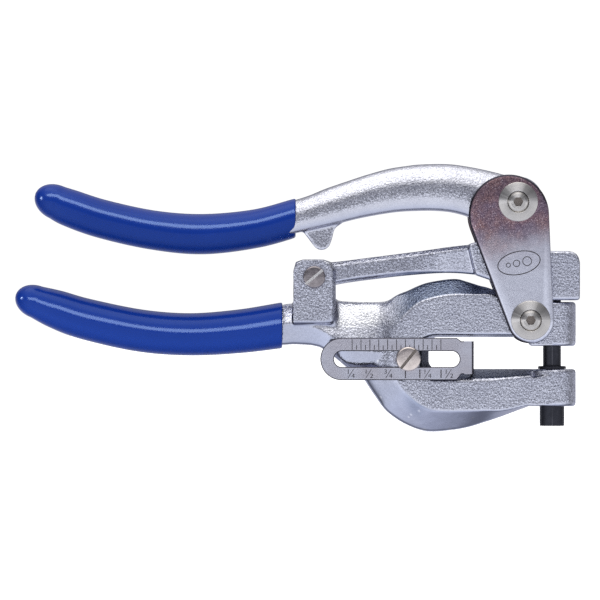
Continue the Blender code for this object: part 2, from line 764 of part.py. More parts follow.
def die():
    seat = LOWER_NOSE[1] + FIT / 2
    top = seat + DIE_FLANGE_HEIGHT
    edge = PIN_EDGE
    bore = PUNCH_RADIUS + FIT
    profile = [
        (bore, top),
        (DIE_FLANGE_RADIUS - edge, top),
        (DIE_FLANGE_RADIUS, top - edge),
        (DIE_FLANGE_RADIUS, seat),
        (DIE_RADIUS, seat),
        (DIE_RADIUS, DIE_BOTTOM + edge),
        (DIE_RADIUS - edge, DIE_BOTTOM),
        (DIE_RELIEF_RADIUS, DIE_BOTTOM),
        (DIE_RELIEF_RADIUS, top - DIE_LAND - edge),
        (bore, top - DIE_LAND),
    ]
    item = lathe("die", profile, hollow=True)
    item.location = (PUNCH_X, 0.0, 0.0)
    slot_half = SCREW_SLOT_WIDTH / 2
    low = (PUNCH_X - 2 * DIE_RADIUS, -slot_half, DIE_BOTTOM - OVERCUT)
    high = (PUNCH_X + 2 * DIE_RADIUS, slot_half, DIE_BOTTOM + SCREW_SLOT_DEPTH)
    return shade_smooth(combine(item, "DIFFERENCE", [block("die_slot", low, high)]))


def pivot(name, centre, pieces, parent=None):
    """An empty on a joint's axis, carrying the pieces that turn about it."""
    empty = bpy.data.objects.new(name, None)
    empty.empty_display_size = 0.01
    bpy.data.collections[COLLECTION].objects.link(empty)
    empty.location = (centre[0], 0.0, centre[1])
    bpy.context.view_layer.update()
    for piece in pieces:
        piece.parent = empty
        piece.matrix_parent_inverse = empty.matrix_world.inverted()
    if parent:
        empty.parent = parent
        empty.matrix_parent_inverse = parent.matrix_world.inverted()
    return empty


def colour(pieces, material):
    for piece in pieces:
        piece.data.materials.clear()
        piece.data.materials.append(material)


def build():
    clear_scene()
    collection(COLLECTION)
    collection(CUTTERS).hide_render = True
    frame = frame_body()
    lower_grip = grip("lower_grip", LOWER_GRIP_LINE)
    handle = upper_handle()
    handle_grip = grip("upper_grip", UPPER_GRIP_LINE)
    lever = punch_lever()
    pin = knuckle_pin()
    plates = [side_plate("side_plate_front", -1), side_plate("side_plate_rear", 1)]
    screws = [link_screw("upper_link_screw", HANDLE_PIVOT), link_screw("lower_link_screw", LINK_PIVOT)]
    nuts = [link_nut("upper_link_nut", HANDLE_PIVOT), link_nut("lower_link_nut", LINK_PIVOT)]
    bushing = ring("handle_bushing", HANDLE_PIVOT, BUSHING_RADIUS, FIT - FRAME_HALF, FRAME_HALF - FIT)
    washers = [
        washer("upper_washer_front", HANDLE_PIVOT, -1),
        washer("upper_washer_rear", HANDLE_PIVOT, 1),
        washer("lower_washer_front", LINK_PIVOT, -1),
        washer("lower_washer_rear", LINK_PIVOT, 1),
    ]
    past_nut = FRAME_HALF + PIVOT_NUT_HEIGHT + PIVOT_SCREW_STICKOUT
    pivot_screw = slotted_screw(
        "lever_pivot_screw", LEVER_PIVOT, FRAME_HALF, PIVOT_SCREW_RADIUS, past_nut,
        PIVOT_HEAD_RADIUS, PIVOT_HEAD_HEIGHT, PIVOT_SLOT_ANGLE,
    )
    gauge_face = GAUGE_INNER + GAUGE_THICKNESS
    gauge_screw = slotted_screw(
        "gauge_screw", GAUGE_SCREW, gauge_face, GAUGE_SHANK_RADIUS, 0.0,
        GAUGE_HEAD_RADIUS, GAUGE_HEAD_HEIGHT, GAUGE_SLOT_ANGLE,
    )
    gauge = gauge_plate()
    nut = pivot_nut()
    ram = punch()
    anvil = die()
    links = pivot("links_pivot", LINK_PIVOT, plates + screws + nuts + washers)
    pivot("handle_pivot", HANDLE_PIVOT, [handle, handle_grip, bushing], links)
    pivot("lever_pivot", LEVER_PIVOT, [lever, pin])
    cast = principled("plated_casting", (0.62, 0.62, 0.68), 0.9, 0.42)
    colour([frame], cast)
    colour([handle], principled("plated_handle", (0.64, 0.64, 0.70), 0.9, 0.40))
    colour([lever], principled("plated_lever", (0.62, 0.62, 0.69), 0.9, 0.40))
    vinyl = principled("blue_vinyl", (0.012, 0.045, 0.32), 0.0, 0.28)
    colour([lower_grip, handle_grip], vinyl)
    colour(plates, principled("satin_steel", (0.55, 0.55, 0.60), 1.0, 0.35))
    colour(screws + nuts, principled("turned_steel", (0.72, 0.71, 0.69), 1.0, 0.22))
    colour(washers + [pin], principled("ground_steel", (0.6, 0.6, 0.6), 1.0, 0.25))
    colour([bushing], principled("bronze", (0.55, 0.36, 0.16), 1.0, 0.35))
    colour([pivot_screw, gauge_screw, nut], principled("nickel_plate", (0.70, 0.66, 0.60), 1.0, 0.3))
    colour([gauge], principled("scale_steel", (0.62, 0.62, 0.66), 1.0, 0.33))
    colour([ram, anvil], principled("black_oxide", (0.02, 0.02, 0.022), 0.6, 0.4))


build()
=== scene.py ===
"""Visual model of a compound-lever sheet-metal hand punch, built around its CAD frame.

X runs from the grips to the jaws, Y from the front to the back, and Z up. Shapes are given in mm.
"""

import math

import bmesh
import bpy
from mathutils import Matrix, Vector, noise


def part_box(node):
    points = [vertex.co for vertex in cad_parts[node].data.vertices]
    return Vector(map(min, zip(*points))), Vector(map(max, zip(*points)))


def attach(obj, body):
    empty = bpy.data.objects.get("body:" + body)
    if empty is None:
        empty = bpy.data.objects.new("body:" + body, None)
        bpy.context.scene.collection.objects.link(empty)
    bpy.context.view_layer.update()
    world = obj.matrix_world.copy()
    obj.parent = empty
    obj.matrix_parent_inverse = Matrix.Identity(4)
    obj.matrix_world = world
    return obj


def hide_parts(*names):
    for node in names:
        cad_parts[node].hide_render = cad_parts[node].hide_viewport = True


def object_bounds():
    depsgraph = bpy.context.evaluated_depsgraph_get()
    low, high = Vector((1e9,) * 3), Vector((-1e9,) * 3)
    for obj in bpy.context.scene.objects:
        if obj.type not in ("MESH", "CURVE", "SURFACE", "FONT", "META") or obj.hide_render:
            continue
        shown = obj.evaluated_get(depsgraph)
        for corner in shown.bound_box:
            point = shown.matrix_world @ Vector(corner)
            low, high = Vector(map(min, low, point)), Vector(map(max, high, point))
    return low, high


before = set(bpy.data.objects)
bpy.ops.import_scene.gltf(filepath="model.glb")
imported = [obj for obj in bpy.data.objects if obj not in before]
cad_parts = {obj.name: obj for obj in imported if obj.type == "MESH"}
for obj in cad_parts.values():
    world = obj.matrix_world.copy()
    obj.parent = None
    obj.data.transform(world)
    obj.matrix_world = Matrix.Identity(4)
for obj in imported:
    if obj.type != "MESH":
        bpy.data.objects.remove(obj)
cad_low, cad_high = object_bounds()

MM = 0.001
VOXEL = 0.42


def centre(node):
    """The middle of a CAD piece, as X and Z."""
    low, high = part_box(node)
    return (low + high).xz / (2 * MM)


LEVER_PIVOT = centre("lever_pivot_screw")
KNUCKLE = centre("knuckle_pin")
HANDLE_PIVOT = centre("upper_link_nut")
LINK_PIVOT = centre("lower_link_nut")
GAUGE_SCREW = centre("gauge_screw")
PUNCH_X = centre("punch").x
# Distances from the tool's middle plane.
PLATE_OUT = -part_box("side_plate_front")[0].y / MM
FRAME_HALF = 8.5
GAUGE_OUT = 9.9
GAUGE_IN = 8.6
THROUGH = 17.0
SEAT_GAP = 0.05
PIN_BORE = 2.6


# ---- mesh tools

def put(name, mesh):
    item = bpy.data.objects.new(name, mesh)
    bpy.context.scene.collection.objects.link(item)
    return item


def from_bmesh(name, made, scale=MM):
    bmesh.ops.recalc_face_normals(made, faces=made.faces)
    mesh = bpy.data.meshes.new(name)
    made.to_mesh(mesh)
    made.free()
    mesh.transform(Matrix.Scale(scale, 4))
    return put(name, mesh)


def settle(item):
    """Applies the modifiers of an object."""
    bpy.context.view_layer.update()
    graph = bpy.context.evaluated_depsgraph_get()
    mesh = bpy.data.meshes.new_from_object(item.evaluated_get(graph), depsgraph=graph)
    old = item.data
    item.modifiers.clear()
    item.data = mesh
    mesh.name = item.name
    if old.users == 0:
        bpy.data.meshes.remove(old)
    return item


def drop(*items):
    for item in items:
        bpy.data.objects.remove(item)


def loft(name, rings, tip=None, closed=False):
    """A skin over rings of (x, y, z). It ends in flat caps, in a point at `tip`, or on itself."""
    made = bmesh.new()
    rows = [[made.verts.new(point) for point in ring] for ring in rings]
    count = len(rows[0])
    for near, far in zip(rows, rows[1:] + rows[:1] * closed):
        for i in range(count):
            j = (i + 1) % count
            made.faces.new((near[i], near[j], far[j], far[i]))
    if not closed:
        made.faces.new(rows[0][::-1])
    if tip:
        point = made.verts.new(tip)
        for i in range(count):
            made.faces.new((rows[-1][i], rows[-1][(i + 1) % count], point))
    elif not closed:
        made.faces.new(rows[-1])
    return from_bmesh(name, made)


def slab(name, outline, near, far):
    """A flat outline of (x, z) between two stations across the tool."""
    return loft(name, [[(x, y, z) for x, z in outline] for y in (near, far)])


def mirrored(x, side):
    """A ring at X from one side of it, as (half width, Z)."""
    return [(x, -w, z) for w, z in side] + [(x, w, z) for w, z in side[::-1] if w]


def block(name, low, high):
    (x0, y0, z0), (x1, y1, z1) = low, high
    return slab(name, [(x0, z0), (x1, z0), (x1, z1), (x0, z1)], y0, y1)


def arc(cx, cz, radius, start, end, steps):
    """Arc points, angles in degrees from +X towards +Z."""
    turns = [math.radians(start + (end - start) * i / steps) for i in range(steps + 1)]
    return [(cx + radius * math.cos(t), cz + radius * math.sin(t)) for t in turns]


def circle(cx, cz, radius, count=64):
    return arc(cx, cz, radius, 0, 360, count)[:-1]


def rod_y(name, where, radius, near=-THROUGH, far=THROUGH):
    """A round bar across the tool."""
    return slab(name, circle(*where, radius), near, far)


def rod_z(name, radius, low, high, x=PUNCH_X, edge=0.0):
    """An upright round bar with its rims eased by `edge`."""
    steps = [(low, radius - edge), (low + edge, radius), (high - edge, radius), (high, radius - edge)]
    if not edge:
        steps = [(low, radius), (high, radius)]
    return loft(name, [[(px, py, z) for px, py in circle(x, 0.0, r)] for z, r in steps])


def join(name, items, weld=False):
    made = bmesh.new()
    for item in items:
        mesh = item.data.copy()
        mesh.transform(item.matrix_world)
        made.from_mesh(mesh)
        bpy.data.meshes.remove(mesh)
    drop(*items)
    if weld:
        bmesh.ops.remove_doubles(made, verts=made.verts, dist=1e-7)
        bmesh.ops.recalc_face_normals(made, faces=made.faces)
        for face in made.faces:
            face.material_index = 0
    mesh = bpy.data.meshes.new(name)
    made.to_mesh(mesh)
    made.free()
    return put(name, mesh)


def cut(item, other, operation="DIFFERENCE", materials=False):
    """Cuts the other shape away, or adds it. With `materials`, new faces keep the other's material."""
    made = item.modifiers.new("cut", "BOOLEAN")
    made.operation = operation
    made.solver = "EXACT"
    made.object = other
    if materials:
        made.material_mode = "TRANSFER"
    settle(item)
    drop(other)
    return item


def cast(item, voxel=VOXEL, rounds=4):
    """Fuses overlapping closed shapes into one skin with the soft edges of a casting."""
    remesh = item.modifiers.new("skin", "REMESH")
    remesh.mode = "VOXEL"
    remesh.voxel_size = voxel * MM
    smooth = item.modifiers.new("soft", "SMOOTH")
    smooth.factor = 0.5
    smooth.iterations = rounds
    return settle(item)


def melt(item, spots, rounds):
    """Softens the skin in each spot, (x, z, reach in x, reach in z), like a generous fillet."""
    group = item.vertex_groups.new(name="melt")
    for point in item.data.vertices:
        x, z = point.co.x / MM, point.co.z / MM
        share = max(1.0 - math.hypot((x - cx) / rx, (z - cz) / rz) for cx, cz, rx, rz in spots)
        if share > 0:
            group.add([point.index], min(1.0, 2.5 * share), "REPLACE")
    soft = item.modifiers.new("melt", "SMOOTH")
    soft.factor = 0.5
    soft.iterations = rounds
    soft.vertex_group = "melt"
    settle(item)
    item.vertex_groups.clear()


def uneven(item, size, depth, seed):
    """Pushes the skin in and out a little, as a casting's face wanders over `size` mm."""
    mesh = item.data
    shift = Vector((seed, 0.7 * seed, -seed))
    for point, normal in zip(mesh.vertices, [Vector(n.vector) for n in mesh.vertex_normals]):
        spot = point.co / (size * MM)
        amount = noise.noise(spot + shift) + 0.5 * noise.noise(spot / 0.45 - shift)
        point.co += normal * (depth * MM * amount)
    mesh.update()


def bevel(item, width, angle=35):
    made = item.modifiers.new("edges", "BEVEL")
    made.width = width * MM
    made.segments = 2
    made.limit_method = "ANGLE"
    made.angle_limit = math.radians(angle)
    return settle(item)


def smooth_shade(item, angle):
    item.data.shade_smooth()
    item.data.set_sharp_from_angle(angle=math.radians(angle))
    return item


def catmull(points, steps, closed=False):
    """Points along a Catmull-Rom curve through tuples of any length."""
    count = len(points)
    found = []
    spans = count if closed else count - 1
    for i in range(spans):
        if closed:
            a, b, c, d = (points[(i + k - 1) % count] for k in range(4))
        else:
            a, b, c, d = points[max(i - 1, 0)], points[i], points[i + 1], points[min(i + 2, count - 1)]
        for s in range(steps):
            t = s / steps
            found.append(tuple(0.5 * (2 * q + (r - p) * t + (2 * p - 5 * q + 4 * r - u) * t * t
                                      + (3 * q - p - 3 * r + u) * t ** 3) for p, q, r, u in zip(a, b, c, d)))
    if not closed:
        found.append(tuple(points[-1]))
    return found


def curve_at(knots, x):
    """Height of a smooth line through (x, z) knots."""
    last = len(knots) - 1
    i = next(i for i in range(last) if x <= knots[i + 1][0] or i == last - 1)
    p0, p1, p2, p3 = knots[max(i - 1, 0)], knots[i], knots[i + 1], knots[min(i + 2, last)]
    span = p2[0] - p1[0]
    t = (x - p1[0]) / span
    m1 = (p2[1] - p0[1]) / (p2[0] - p0[0]) * span
    m2 = (p3[1] - p1[1]) / (p3[0] - p1[0]) * span
    return ((2 * t ** 3 - 3 * t * t + 1) * p1[1] + (t ** 3 - 2 * t * t + t) * m1
            + (3 * t * t - 2 * t ** 3) * p2[1] + (t ** 3 - t * t) * m2)


def lathe(name, profile, count=96):
    """A piece turned about its own Z axis, from a closed profile of (radius, height)."""
    made = bmesh.new()
    rows = []
    for radius, height in profile:
        ring = circle(0.0, 0.0, radius, count) if radius else [(0.0, 0.0)]
        rows.append([made.verts.new((x, y, height)) for x, y in ring])
    pairs = list(zip(rows, rows[1:]))
    if profile[0][0] or profile[-1][0]:
        pairs.append((rows[-1], rows[0]))
    for near, far in pairs:
        for i in range(count):
            j = (i + 1) % count
            corners = [near[i % len(near)], near[j % len(near)], far[j % len(far)], far[i % len(far)]]
            unique = list(dict.fromkeys(corners))
            if len(unique) > 2:
                made.faces.new(unique)
    return from_bmesh(name, made)


def eased(points, radius, steps=3):
    """A profile of (radius, height), with a round where a corner is marked True."""
    found = []
    for i, (r, h, corner) in enumerate(points):
        if not corner:
            found.append((r, h))
            continue
        here = Vector((r, h))
        back = Vector(points[i - 1][:2]) - here
        ahead = Vector(points[(i + 1) % len(points)][:2]) - here
        reach = min(radius, 0.45 * back.length, 0.45 * ahead.length)
        first, last = here + back.normalized() * reach, here + ahead.normalized() * reach
        for s in range(steps + 1):
            t = s / steps
            spot = first * (1 - t) ** 2 + here * 2 * t * (1 - t) + last * t * t
            found.append((spot.x, spot.y))
    return found


def across(item, where):
    """Lays a turned piece along Y, with its own +Z towards the front."""
    item.rotation_euler = (math.radians(90), 0.0, 0.0)
    item.location = (where[0] * MM, 0.0, where[1] * MM)
    bpy.context.view_layer.update()
    return item


def offset(outline, amount):
    """The outline moved inwards by `amount`, corner by corner."""
    count = len(outline)
    size = sum(outline[i - 1][0] * outline[i][1] - outline[i][0] * outline[i - 1][1] for i in range(count))
    turn = 1 if size > 0 else -1
    found = []
    points = [Vector(point) for point in outline]
    for i, here in enumerate(points):
        back, ahead = (here - points[i - 1]).normalized(), (points[(i + 1) % count] - here).normalized()
        first, second = Vector((-back.y, back.x)) * turn, Vector((-ahead.y, ahead.x)) * turn
        middle = (first + second).normalized()
        spot = here + middle * (amount / max(middle.dot(first), 0.4))
        found.append((spot.x, spot.y))
    return found


def lobes(top, top_radius, foot, foot_radius, steps):
    """Two arcs joined by their outer tangents."""
    along = Vector(top) - Vector(foot)
    heading = math.degrees(math.atan2(along.y, along.x))
    spread = math.degrees(math.acos((foot_radius - top_radius) / along.length))
    over = arc(top[0], top[1], top_radius, heading - spread, heading + spread, steps)
    under = arc(foot[0], foot[1], foot_radius, heading + spread, heading - spread + 360, steps // 2)
    return over + under


# ---- materials

class Graph:
    """Short calls for wiring a node tree."""

    def __init__(self, tree):
        self.tree = tree

    def feed(self, socket, value):
        """Sets a socket from a number or colour, or links another node's output to it."""
        if isinstance(value, bpy.types.NodeSocket):
            self.tree.links.new(value, socket)
        elif socket.type == "RGBA":
            socket.default_value = (*value, 1.0)
        else:
            socket.default_value = value

    def node(self, kind, inputs=(), **settings):
        made = self.tree.nodes.new("ShaderNode" + kind)
        for key, value in settings.items():
            setattr(made, key, value)
        for key, value in dict(inputs).items():
            self.feed(made.inputs[key], value)
        return made

    def ramp(self, source, *stops):
        made = self.node("ValToRGB", {"Fac": source})
        elements = made.color_ramp.elements
        while len(elements) < len(stops):
            elements.new(0.5)
        for element, (position, value) in zip(elements, stops):
            element.position = position
            element.color = (*value, 1.0) if isinstance(value, tuple) else (value, value, value, 1.0)
        return made.outputs["Color"]

    def maths(self, operation, *values, clamp=False):
        return self.node("Math", enumerate(values), operation=operation, use_clamp=clamp).outputs[0]

    def halved(self, source):
        """Brings -1 to 1 into 0 to 1."""
        return self.maths("MULTIPLY_ADD", source, 0.5, 0.5)

    def product(self, first, *others):
        for other in others:
            first = self.maths("MULTIPLY", first, other)
        return first

    def distance(self, first, second, middle=(0.0, 0.0)):
        legs = [self.maths("POWER", self.maths("SUBTRACT", source, start), 2.0)
                for source, start in zip((first, second), middle)]
        return self.maths("SQRT", self.maths("ADD", *legs))

    def mix(self, factor, first, second, blend="MIX"):
        inputs = {0: factor, 6: first, 7: second}
        return self.node("Mix", inputs, data_type="RGBA", blend_type=blend).outputs[2]

    def split(self, source):
        return self.node("SeparateXYZ", {0: source}).outputs

    def span(self, source, start, end):
        """0 at start, 1 at end, smooth between."""
        inputs = {"Value": source, "From Min": start, "From Max": end}
        return self.node("MapRange", inputs, interpolation_type="SMOOTHSTEP").outputs["Result"]


class Surface(Graph):
    """One procedural material, laid out in mm of the piece's own space."""

    def __init__(self, name, metallic=1.0):
        self.material = bpy.data.materials.new(name)
        self.material.use_nodes = True
        super().__init__(self.material.node_tree)
        self.shader = self.tree.nodes["Principled BSDF"]
        self.shader.inputs["Metallic"].default_value = metallic
        own = self.node("TexCoord").outputs
        self.position = self.stretched((1000.0, 1000.0, 1000.0), own["Object"])
        self.at = self.split(self.position)
        self.facing = self.split(own["Normal"])

    def stretched(self, scale, source=None):
        return self.node("Mapping", {"Vector": source or self.position, "Scale": scale}).outputs["Vector"]

    def noise(self, size, detail=3.0, rough=0.55, vector=None):
        """Noise with features about `size` mm across."""
        inputs = {"Scale": 1.0 / size, "Detail": detail, "Roughness": rough}
        return self.node("TexNoise", inputs | {"Vector": vector or self.position}).outputs["Fac"]

    def along(self, source, scale):
        """Noise that changes with one value only."""
        inputs = {"W": source, "Scale": scale, "Detail": 3.0}
        return self.node("TexNoise", inputs, noise_dimensions="1D").outputs["Fac"]

    def pebbles(self, size, smoothness):
        inputs = {"Vector": self.position, "Scale": 1.0 / size, "Smoothness": smoothness}
        return self.node("TexVoronoi", inputs, feature="SMOOTH_F1").outputs["Distance"]

    def patches(self, source, low, high, first, second):
        """One tone where the noise is low, the other where it is high."""
        return self.mix(self.ramp(source, (low, 0.0), (high, 1.0)), first, second)

    def bump(self, height, depth, strength=1.0, under=None):
        """Bump of a given depth in mm."""
        made = self.node("Bump", {"Height": height, "Strength": strength, "Distance": depth * MM})
        if under:
            self.feed(made.inputs["Normal"], under)
        return made.outputs["Normal"]

    def worn_edges(self, low=0.53, high=0.62):
        """Bright where an edge sticks out."""
        return self.ramp(self.node("NewGeometry").outputs["Pointiness"], (low, 0.0), (high, 1.0))

    def gloss(self, size, smooth, rough, detail=3.0):
        return self.ramp(self.noise(size, detail), (0.3, smooth), (0.7, rough))

    def done(self, colour, roughness, normal=None, **more):
        inputs = {"Base Color": colour, "Roughness": roughness}
        if normal:
            inputs["Normal"] = normal
        for key, value in (inputs | more).items():
            self.feed(self.shader.inputs[key.replace("_", " ")], value)
        return self.material


# Painted light and shade on the frame: a tone, and the spans whose product is its share. Painted shade
# darkens the bow's rim under the lever, the belly's band beside the pad, the throat's floor and back wall
# and the left underside; painted light brightens the belly's keel and the top of the neck. `width` is the
# distance from the middle plane, and `belly` from the middle of the belly's curve. `up` and `ahead` say how
# far the skin faces +Z and +X. The first zone, the bow's rim, is as grainy as an upright face.
BELLY = (50.0, 22.0)
FRAME_PAINTED_LIGHT = (
    ((0.25, 0.29, 0.38), ("width", 8.35, 7.9), ("Z", 25.0, 34.0), ("X", 31.0, 42.0), ("X", 86.0, 83.0)),
    ((0.36, 0.39, 0.48), ("belly", 20.0, 15.5), ("up", -0.05, -0.25), ("X", 52.0, 44.0)),
    ((0.27, 0.29, 0.34), ("up", 0.60, 0.85), ("X", 88.0, 84.0), ("Z", 23.5, 23.0), ("X", 46.0, 47.0)),
    ((0.04, 0.045, 0.06), ("ahead", 0.25, 0.55), ("X", 50.5, 49.0), ("X", 41.0, 43.0)),
    ((0.52, 0.535, 0.62), ("X", 44.0, 36.0), ("up", 0.05, -0.12)),
    ((0.71, 0.73, 0.83), ("X", 40.0, 48.0), ("up", -0.35, -0.6), ("X", 74.0, 66.0)),
    ((0.86, 0.865, 0.91), ("X", 7.0, 13.0), ("X", 34.0, 27.0), ("up", 0.10, 0.35), ("Z", 35.5, 40.0)),
)


def casting(name, light, dark, grain, painted_light=()):
    """Zinc-plated casting: sparkling upright faces, smoother above and below, rubbed edges."""
    made = Surface(name)
    up = made.facing["Z"]
    tone = made.patches(made.noise(9.0, 4.0, 0.6), 0.35, 0.68, dark, light)
    upright = made.ramp(made.halved(up), (0.30, 0.08), (0.43, 0.30), (0.49, 1.0), (0.93, 0.9))
    sources = {"X": made.at["X"], "Z": made.at["Z"], "up": up, "ahead": made.facing["X"],
               "width": made.maths("ABSOLUTE", made.at["Y"]),
               "belly": made.distance(made.at["X"], made.at["Z"], BELLY)}
    # Each zone mixes its painted shade or painted light into the tone.
    for number, (shade, *spans) in enumerate(painted_light):
        share = made.product(*(made.span(sources[source], start, end) for source, start, end in spans))
        tone = made.mix(share, tone, shade)
        if number == 0:
            upright = made.maths("MAXIMUM", upright, share)
    tone = made.mix(made.worn_edges(), tone, (0.82, 0.82, 0.86))
    fleck = made.ramp(made.noise(0.50, 2.0, 0.75), (0.38, 0.30), (0.50, 0.85), (0.62, 1.48))
    tone = made.mix(made.product(upright, 0.78 * grain), tone, made.mix(1.0, tone, fleck, "MULTIPLY"))
    # Painted shade: a dark outline where the skin turns away from the eye, except on faces that look up.
    turn = made.node("LayerWeight").outputs["Facing"]
    outline = made.product(made.span(turn, 0.66, 0.97), made.span(up, 0.0, 0.3))
    tone = made.mix(outline, tone, (0.34, 0.35, 0.40))
    pits = made.bump(made.pebbles(0.85, 0.25), 0.11 * grain, upright)
    skin = made.bump(made.noise(0.48, 2.0, 0.7), 0.15 * grain, upright, under=pits)
    broad = made.bump(made.noise(5.0, 2.0), 0.05, under=skin)
    return made.done(tone, made.gloss(1.6, 0.13, 0.21), broad, Specular_Tint=(0.80, 0.80, 0.86))


def dipped_vinyl():
    made = Surface("dipped_vinyl", 0.0)
    tone = made.mix(made.noise(14.0, 3.0), (0.0015, 0.0122, 0.112), (0.0027, 0.0158, 0.131))
    # Painted light: lighter where the sleeve faces down, as if lit from below.
    tone = made.mix(made.span(made.facing["Z"], -0.05, -0.75), tone, (0.0045, 0.0225, 0.168))
    waves = made.bump(made.noise(1.0, 2.0, vector=made.stretched((0.03, 0.10, 0.10))), 0.12)
    return made.done(tone, made.gloss(3.0, 0.165, 0.195, 4.0), waves,
                     IOR=1.40, Specular_Tint=(0.46, 0.66, 1.0))


def stained_and_shaded_plate():
    """Blanked steel: satin and pale below; purple brown and gritty round the upper pin, partly a heat stain
    and partly painted shade.
    """
    made = Surface("satin_plate")
    height, ahead = made.at["Z"], made.facing["X"]
    wobble = made.product(made.maths("SUBTRACT", made.noise(9.0, 3.0), 0.5), 9.0)
    lean = made.product(made.at["X"], -0.18)
    level = made.maths("ADD", made.maths("ADD", height, wobble), lean)
    # The purple-brown tone climbs towards the top: partly stain, partly painted shade.
    stain_and_shade = made.ramp(made.maths("DIVIDE", made.maths("SUBTRACT", level, 40.4), 20.5, clamp=True),
                      (0.0, 0.0), (0.45, 0.16), (0.80, 0.85), (1.0, 1.0))
    grit = made.noise(0.42, 2.0, 0.8)
    brown = made.patches(made.noise(5.0, 3.0), 0.35, 0.65, (0.46, 0.26, 0.25), (0.28, 0.20, 0.27))
    gritty = made.patches(grit, 0.36, 0.56, (0.14, 0.10, 0.135), brown)
    gritty = made.patches(grit, 0.57, 0.70, gritty, (0.78, 0.66, 0.70))
    pale = made.patches(made.noise(0.5, 3.0, 0.7), 0.35, 0.6, (0.62, 0.63, 0.72), (0.80, 0.81, 0.89))
    tone = made.mix(stain_and_shade, pale, gritty)
    # Painted shade: the rounded rim turns near black along the top and down the left side.
    rim = made.span(made.maths("ABSOLUTE", made.facing["Y"]), 0.97, 0.86)
    above = made.product(made.span(height, 62.0, 68.0), made.span(ahead, 0.40, 0.20))
    above = made.maths("MAXIMUM", above, made.span(height, 80.5, 84.0))
    dark = made.product(rim, made.maths("MAXIMUM", above, made.span(ahead, 0.15, -0.15)))
    tone = made.mix(dark, tone, (0.05, 0.045, 0.06))
    fine = made.bump(made.noise(0.34, 2.0, 0.7), 0.035, made.maths("MULTIPLY_ADD", stain_and_shade, 0.6, 0.4))
    return made.done(tone, made.gloss(2.5, 0.26, 0.36), made.bump(made.noise(7.0, 2.0), 0.10, under=fine))


# The painted fan of light on a faced end, as (share of a turn from the left, brightness), by way of the
# bottom.
FAN = (
    (0.0, 1.15), (0.04, 0.88), (0.12, 0.8), (0.25, 0.88), (0.38, 0.82), (0.46, 0.88), (0.5, 0.98),
    (0.55, 0.58), (0.6, 0.36), (0.66, 0.46), (0.72, 0.95), (0.77, 1.12), (0.83, 0.92), (0.88, 0.5),
    (0.93, 0.36), (0.97, 0.75), (1.0, 1.15),
)


def turned_steel():
    """Faced in a lathe: fine rings, and a painted fan of light, as the rings would throw."""
    made, steel = Surface("turned_steel"), (0.88, 0.84, 0.79)
    x, y = made.at["X"], made.at["Y"]
    ring = made.along(made.distance(x, y), 7.0)
    tone = made.patches(ring, 0.35, 0.65, tuple(0.82 * c for c in steel), steel)
    angle = made.maths("ARCTAN2", y, x)
    rays = made.maths("SUBTRACT", made.along(angle, 5.0), 0.5)
    turn = made.maths("MULTIPLY_ADD", rays, 0.06, made.maths("MULTIPLY_ADD", angle, 0.5 / math.pi, 0.5))
    tone = made.mix(1.0, tone, made.ramp(turn, *FAN), "MULTIPLY")
    tangent = made.node("Tangent", direction_type="RADIAL", axis="Z").outputs["Tangent"]
    return made.done(tone, made.gloss(2.0, 0.31, 0.38), made.bump(ring, 0.004),
                     Tangent=tangent, Anisotropic=0.92, Anisotropic_Rotation=0.25)


def plain_metal(name, colour, roughness, grit=0.03, dark_share=0.7):
    made = Surface(name)
    tone = made.patches(made.noise(2.2, 4.0, 0.65), 0.32, 0.66, tuple(dark_share * c for c in colour), colour)
    tone = made.mix(made.worn_edges(), tone, tuple(min(1.0, 1.25 * c) for c in colour))
    return made.done(tone, made.gloss(1.3, roughness - 0.06, roughness + 0.08),
                     made.bump(made.noise(0.4, 3.0, 0.6), grit))


def scale_steel():
    """Rolled strip with a satin finish along its length, and painted shade on its rounded edges."""
    made = Surface("scale_steel")
    streaks = made.noise(1.0, 4.0, 0.65, made.stretched((0.12, 1.0, 2.6)))
    tone = made.patches(streaks, 0.3, 0.7, (0.55, 0.53, 0.585), (0.63, 0.615, 0.665))
    tone = made.patches(made.noise(11.0, 2.0), 0.35, 0.65, tone, (0.66, 0.665, 0.74))
    # Painted shade: the rounded edges turn near black.
    edge_shade = made.span(made.maths("ABSOLUTE", made.facing["Y"]), 0.97, 0.80)
    tone = made.mix(edge_shade, tone, (0.07, 0.065, 0.08))
    fine = made.bump(made.noise(0.6, 2.0, 0.7), 0.010, under=made.bump(streaks, 0.010))
    return made.done(tone, made.gloss(2.0, 0.26, 0.36), made.bump(made.noise(9.0, 1.0), 0.08, under=fine))


def black_oxide():
    made = Surface("black_oxide", 0.8)
    tone = made.mix(made.noise(2.4, 4.0, 0.6), (0.022, 0.023, 0.030), (0.052, 0.053, 0.066))
    tone = made.mix(made.worn_edges(0.54, 0.66), tone, (0.20, 0.20, 0.22))
    grinding = made.bump(made.noise(1.0, 3.0, vector=made.stretched((0.5, 0.5, 6.0))), 0.008)
    return made.done(tone, made.gloss(1.5, 0.30, 0.46), grinding)


def dark_fill():
    made = Surface("dark_fill", 0.3)
    tone = made.mix(made.noise(0.5, 3.0), (0.035, 0.032, 0.04), (0.085, 0.078, 0.085))
    return made.done(tone, 0.5, made.bump(made.noise(0.3, 2.0), 0.02))


CAST = casting("plated_casting", (0.68, 0.69, 0.765), (0.60, 0.61, 0.69), 0.9, FRAME_PAINTED_LIGHT)
CAST_HANDLE = casting("plated_handle", (0.69, 0.695, 0.755), (0.61, 0.615, 0.68), 0.75)
CAST_LEVER = casting("plated_lever", (0.65, 0.66, 0.74), (0.55, 0.56, 0.64), 0.9)
VINYL = dipped_vinyl()
PLATE = stained_and_shaded_plate()
TURNED = turned_steel()
NICKEL = plain_metal("nickel_plate", (0.84, 0.74, 0.68), 0.22, 0.02, 0.82)
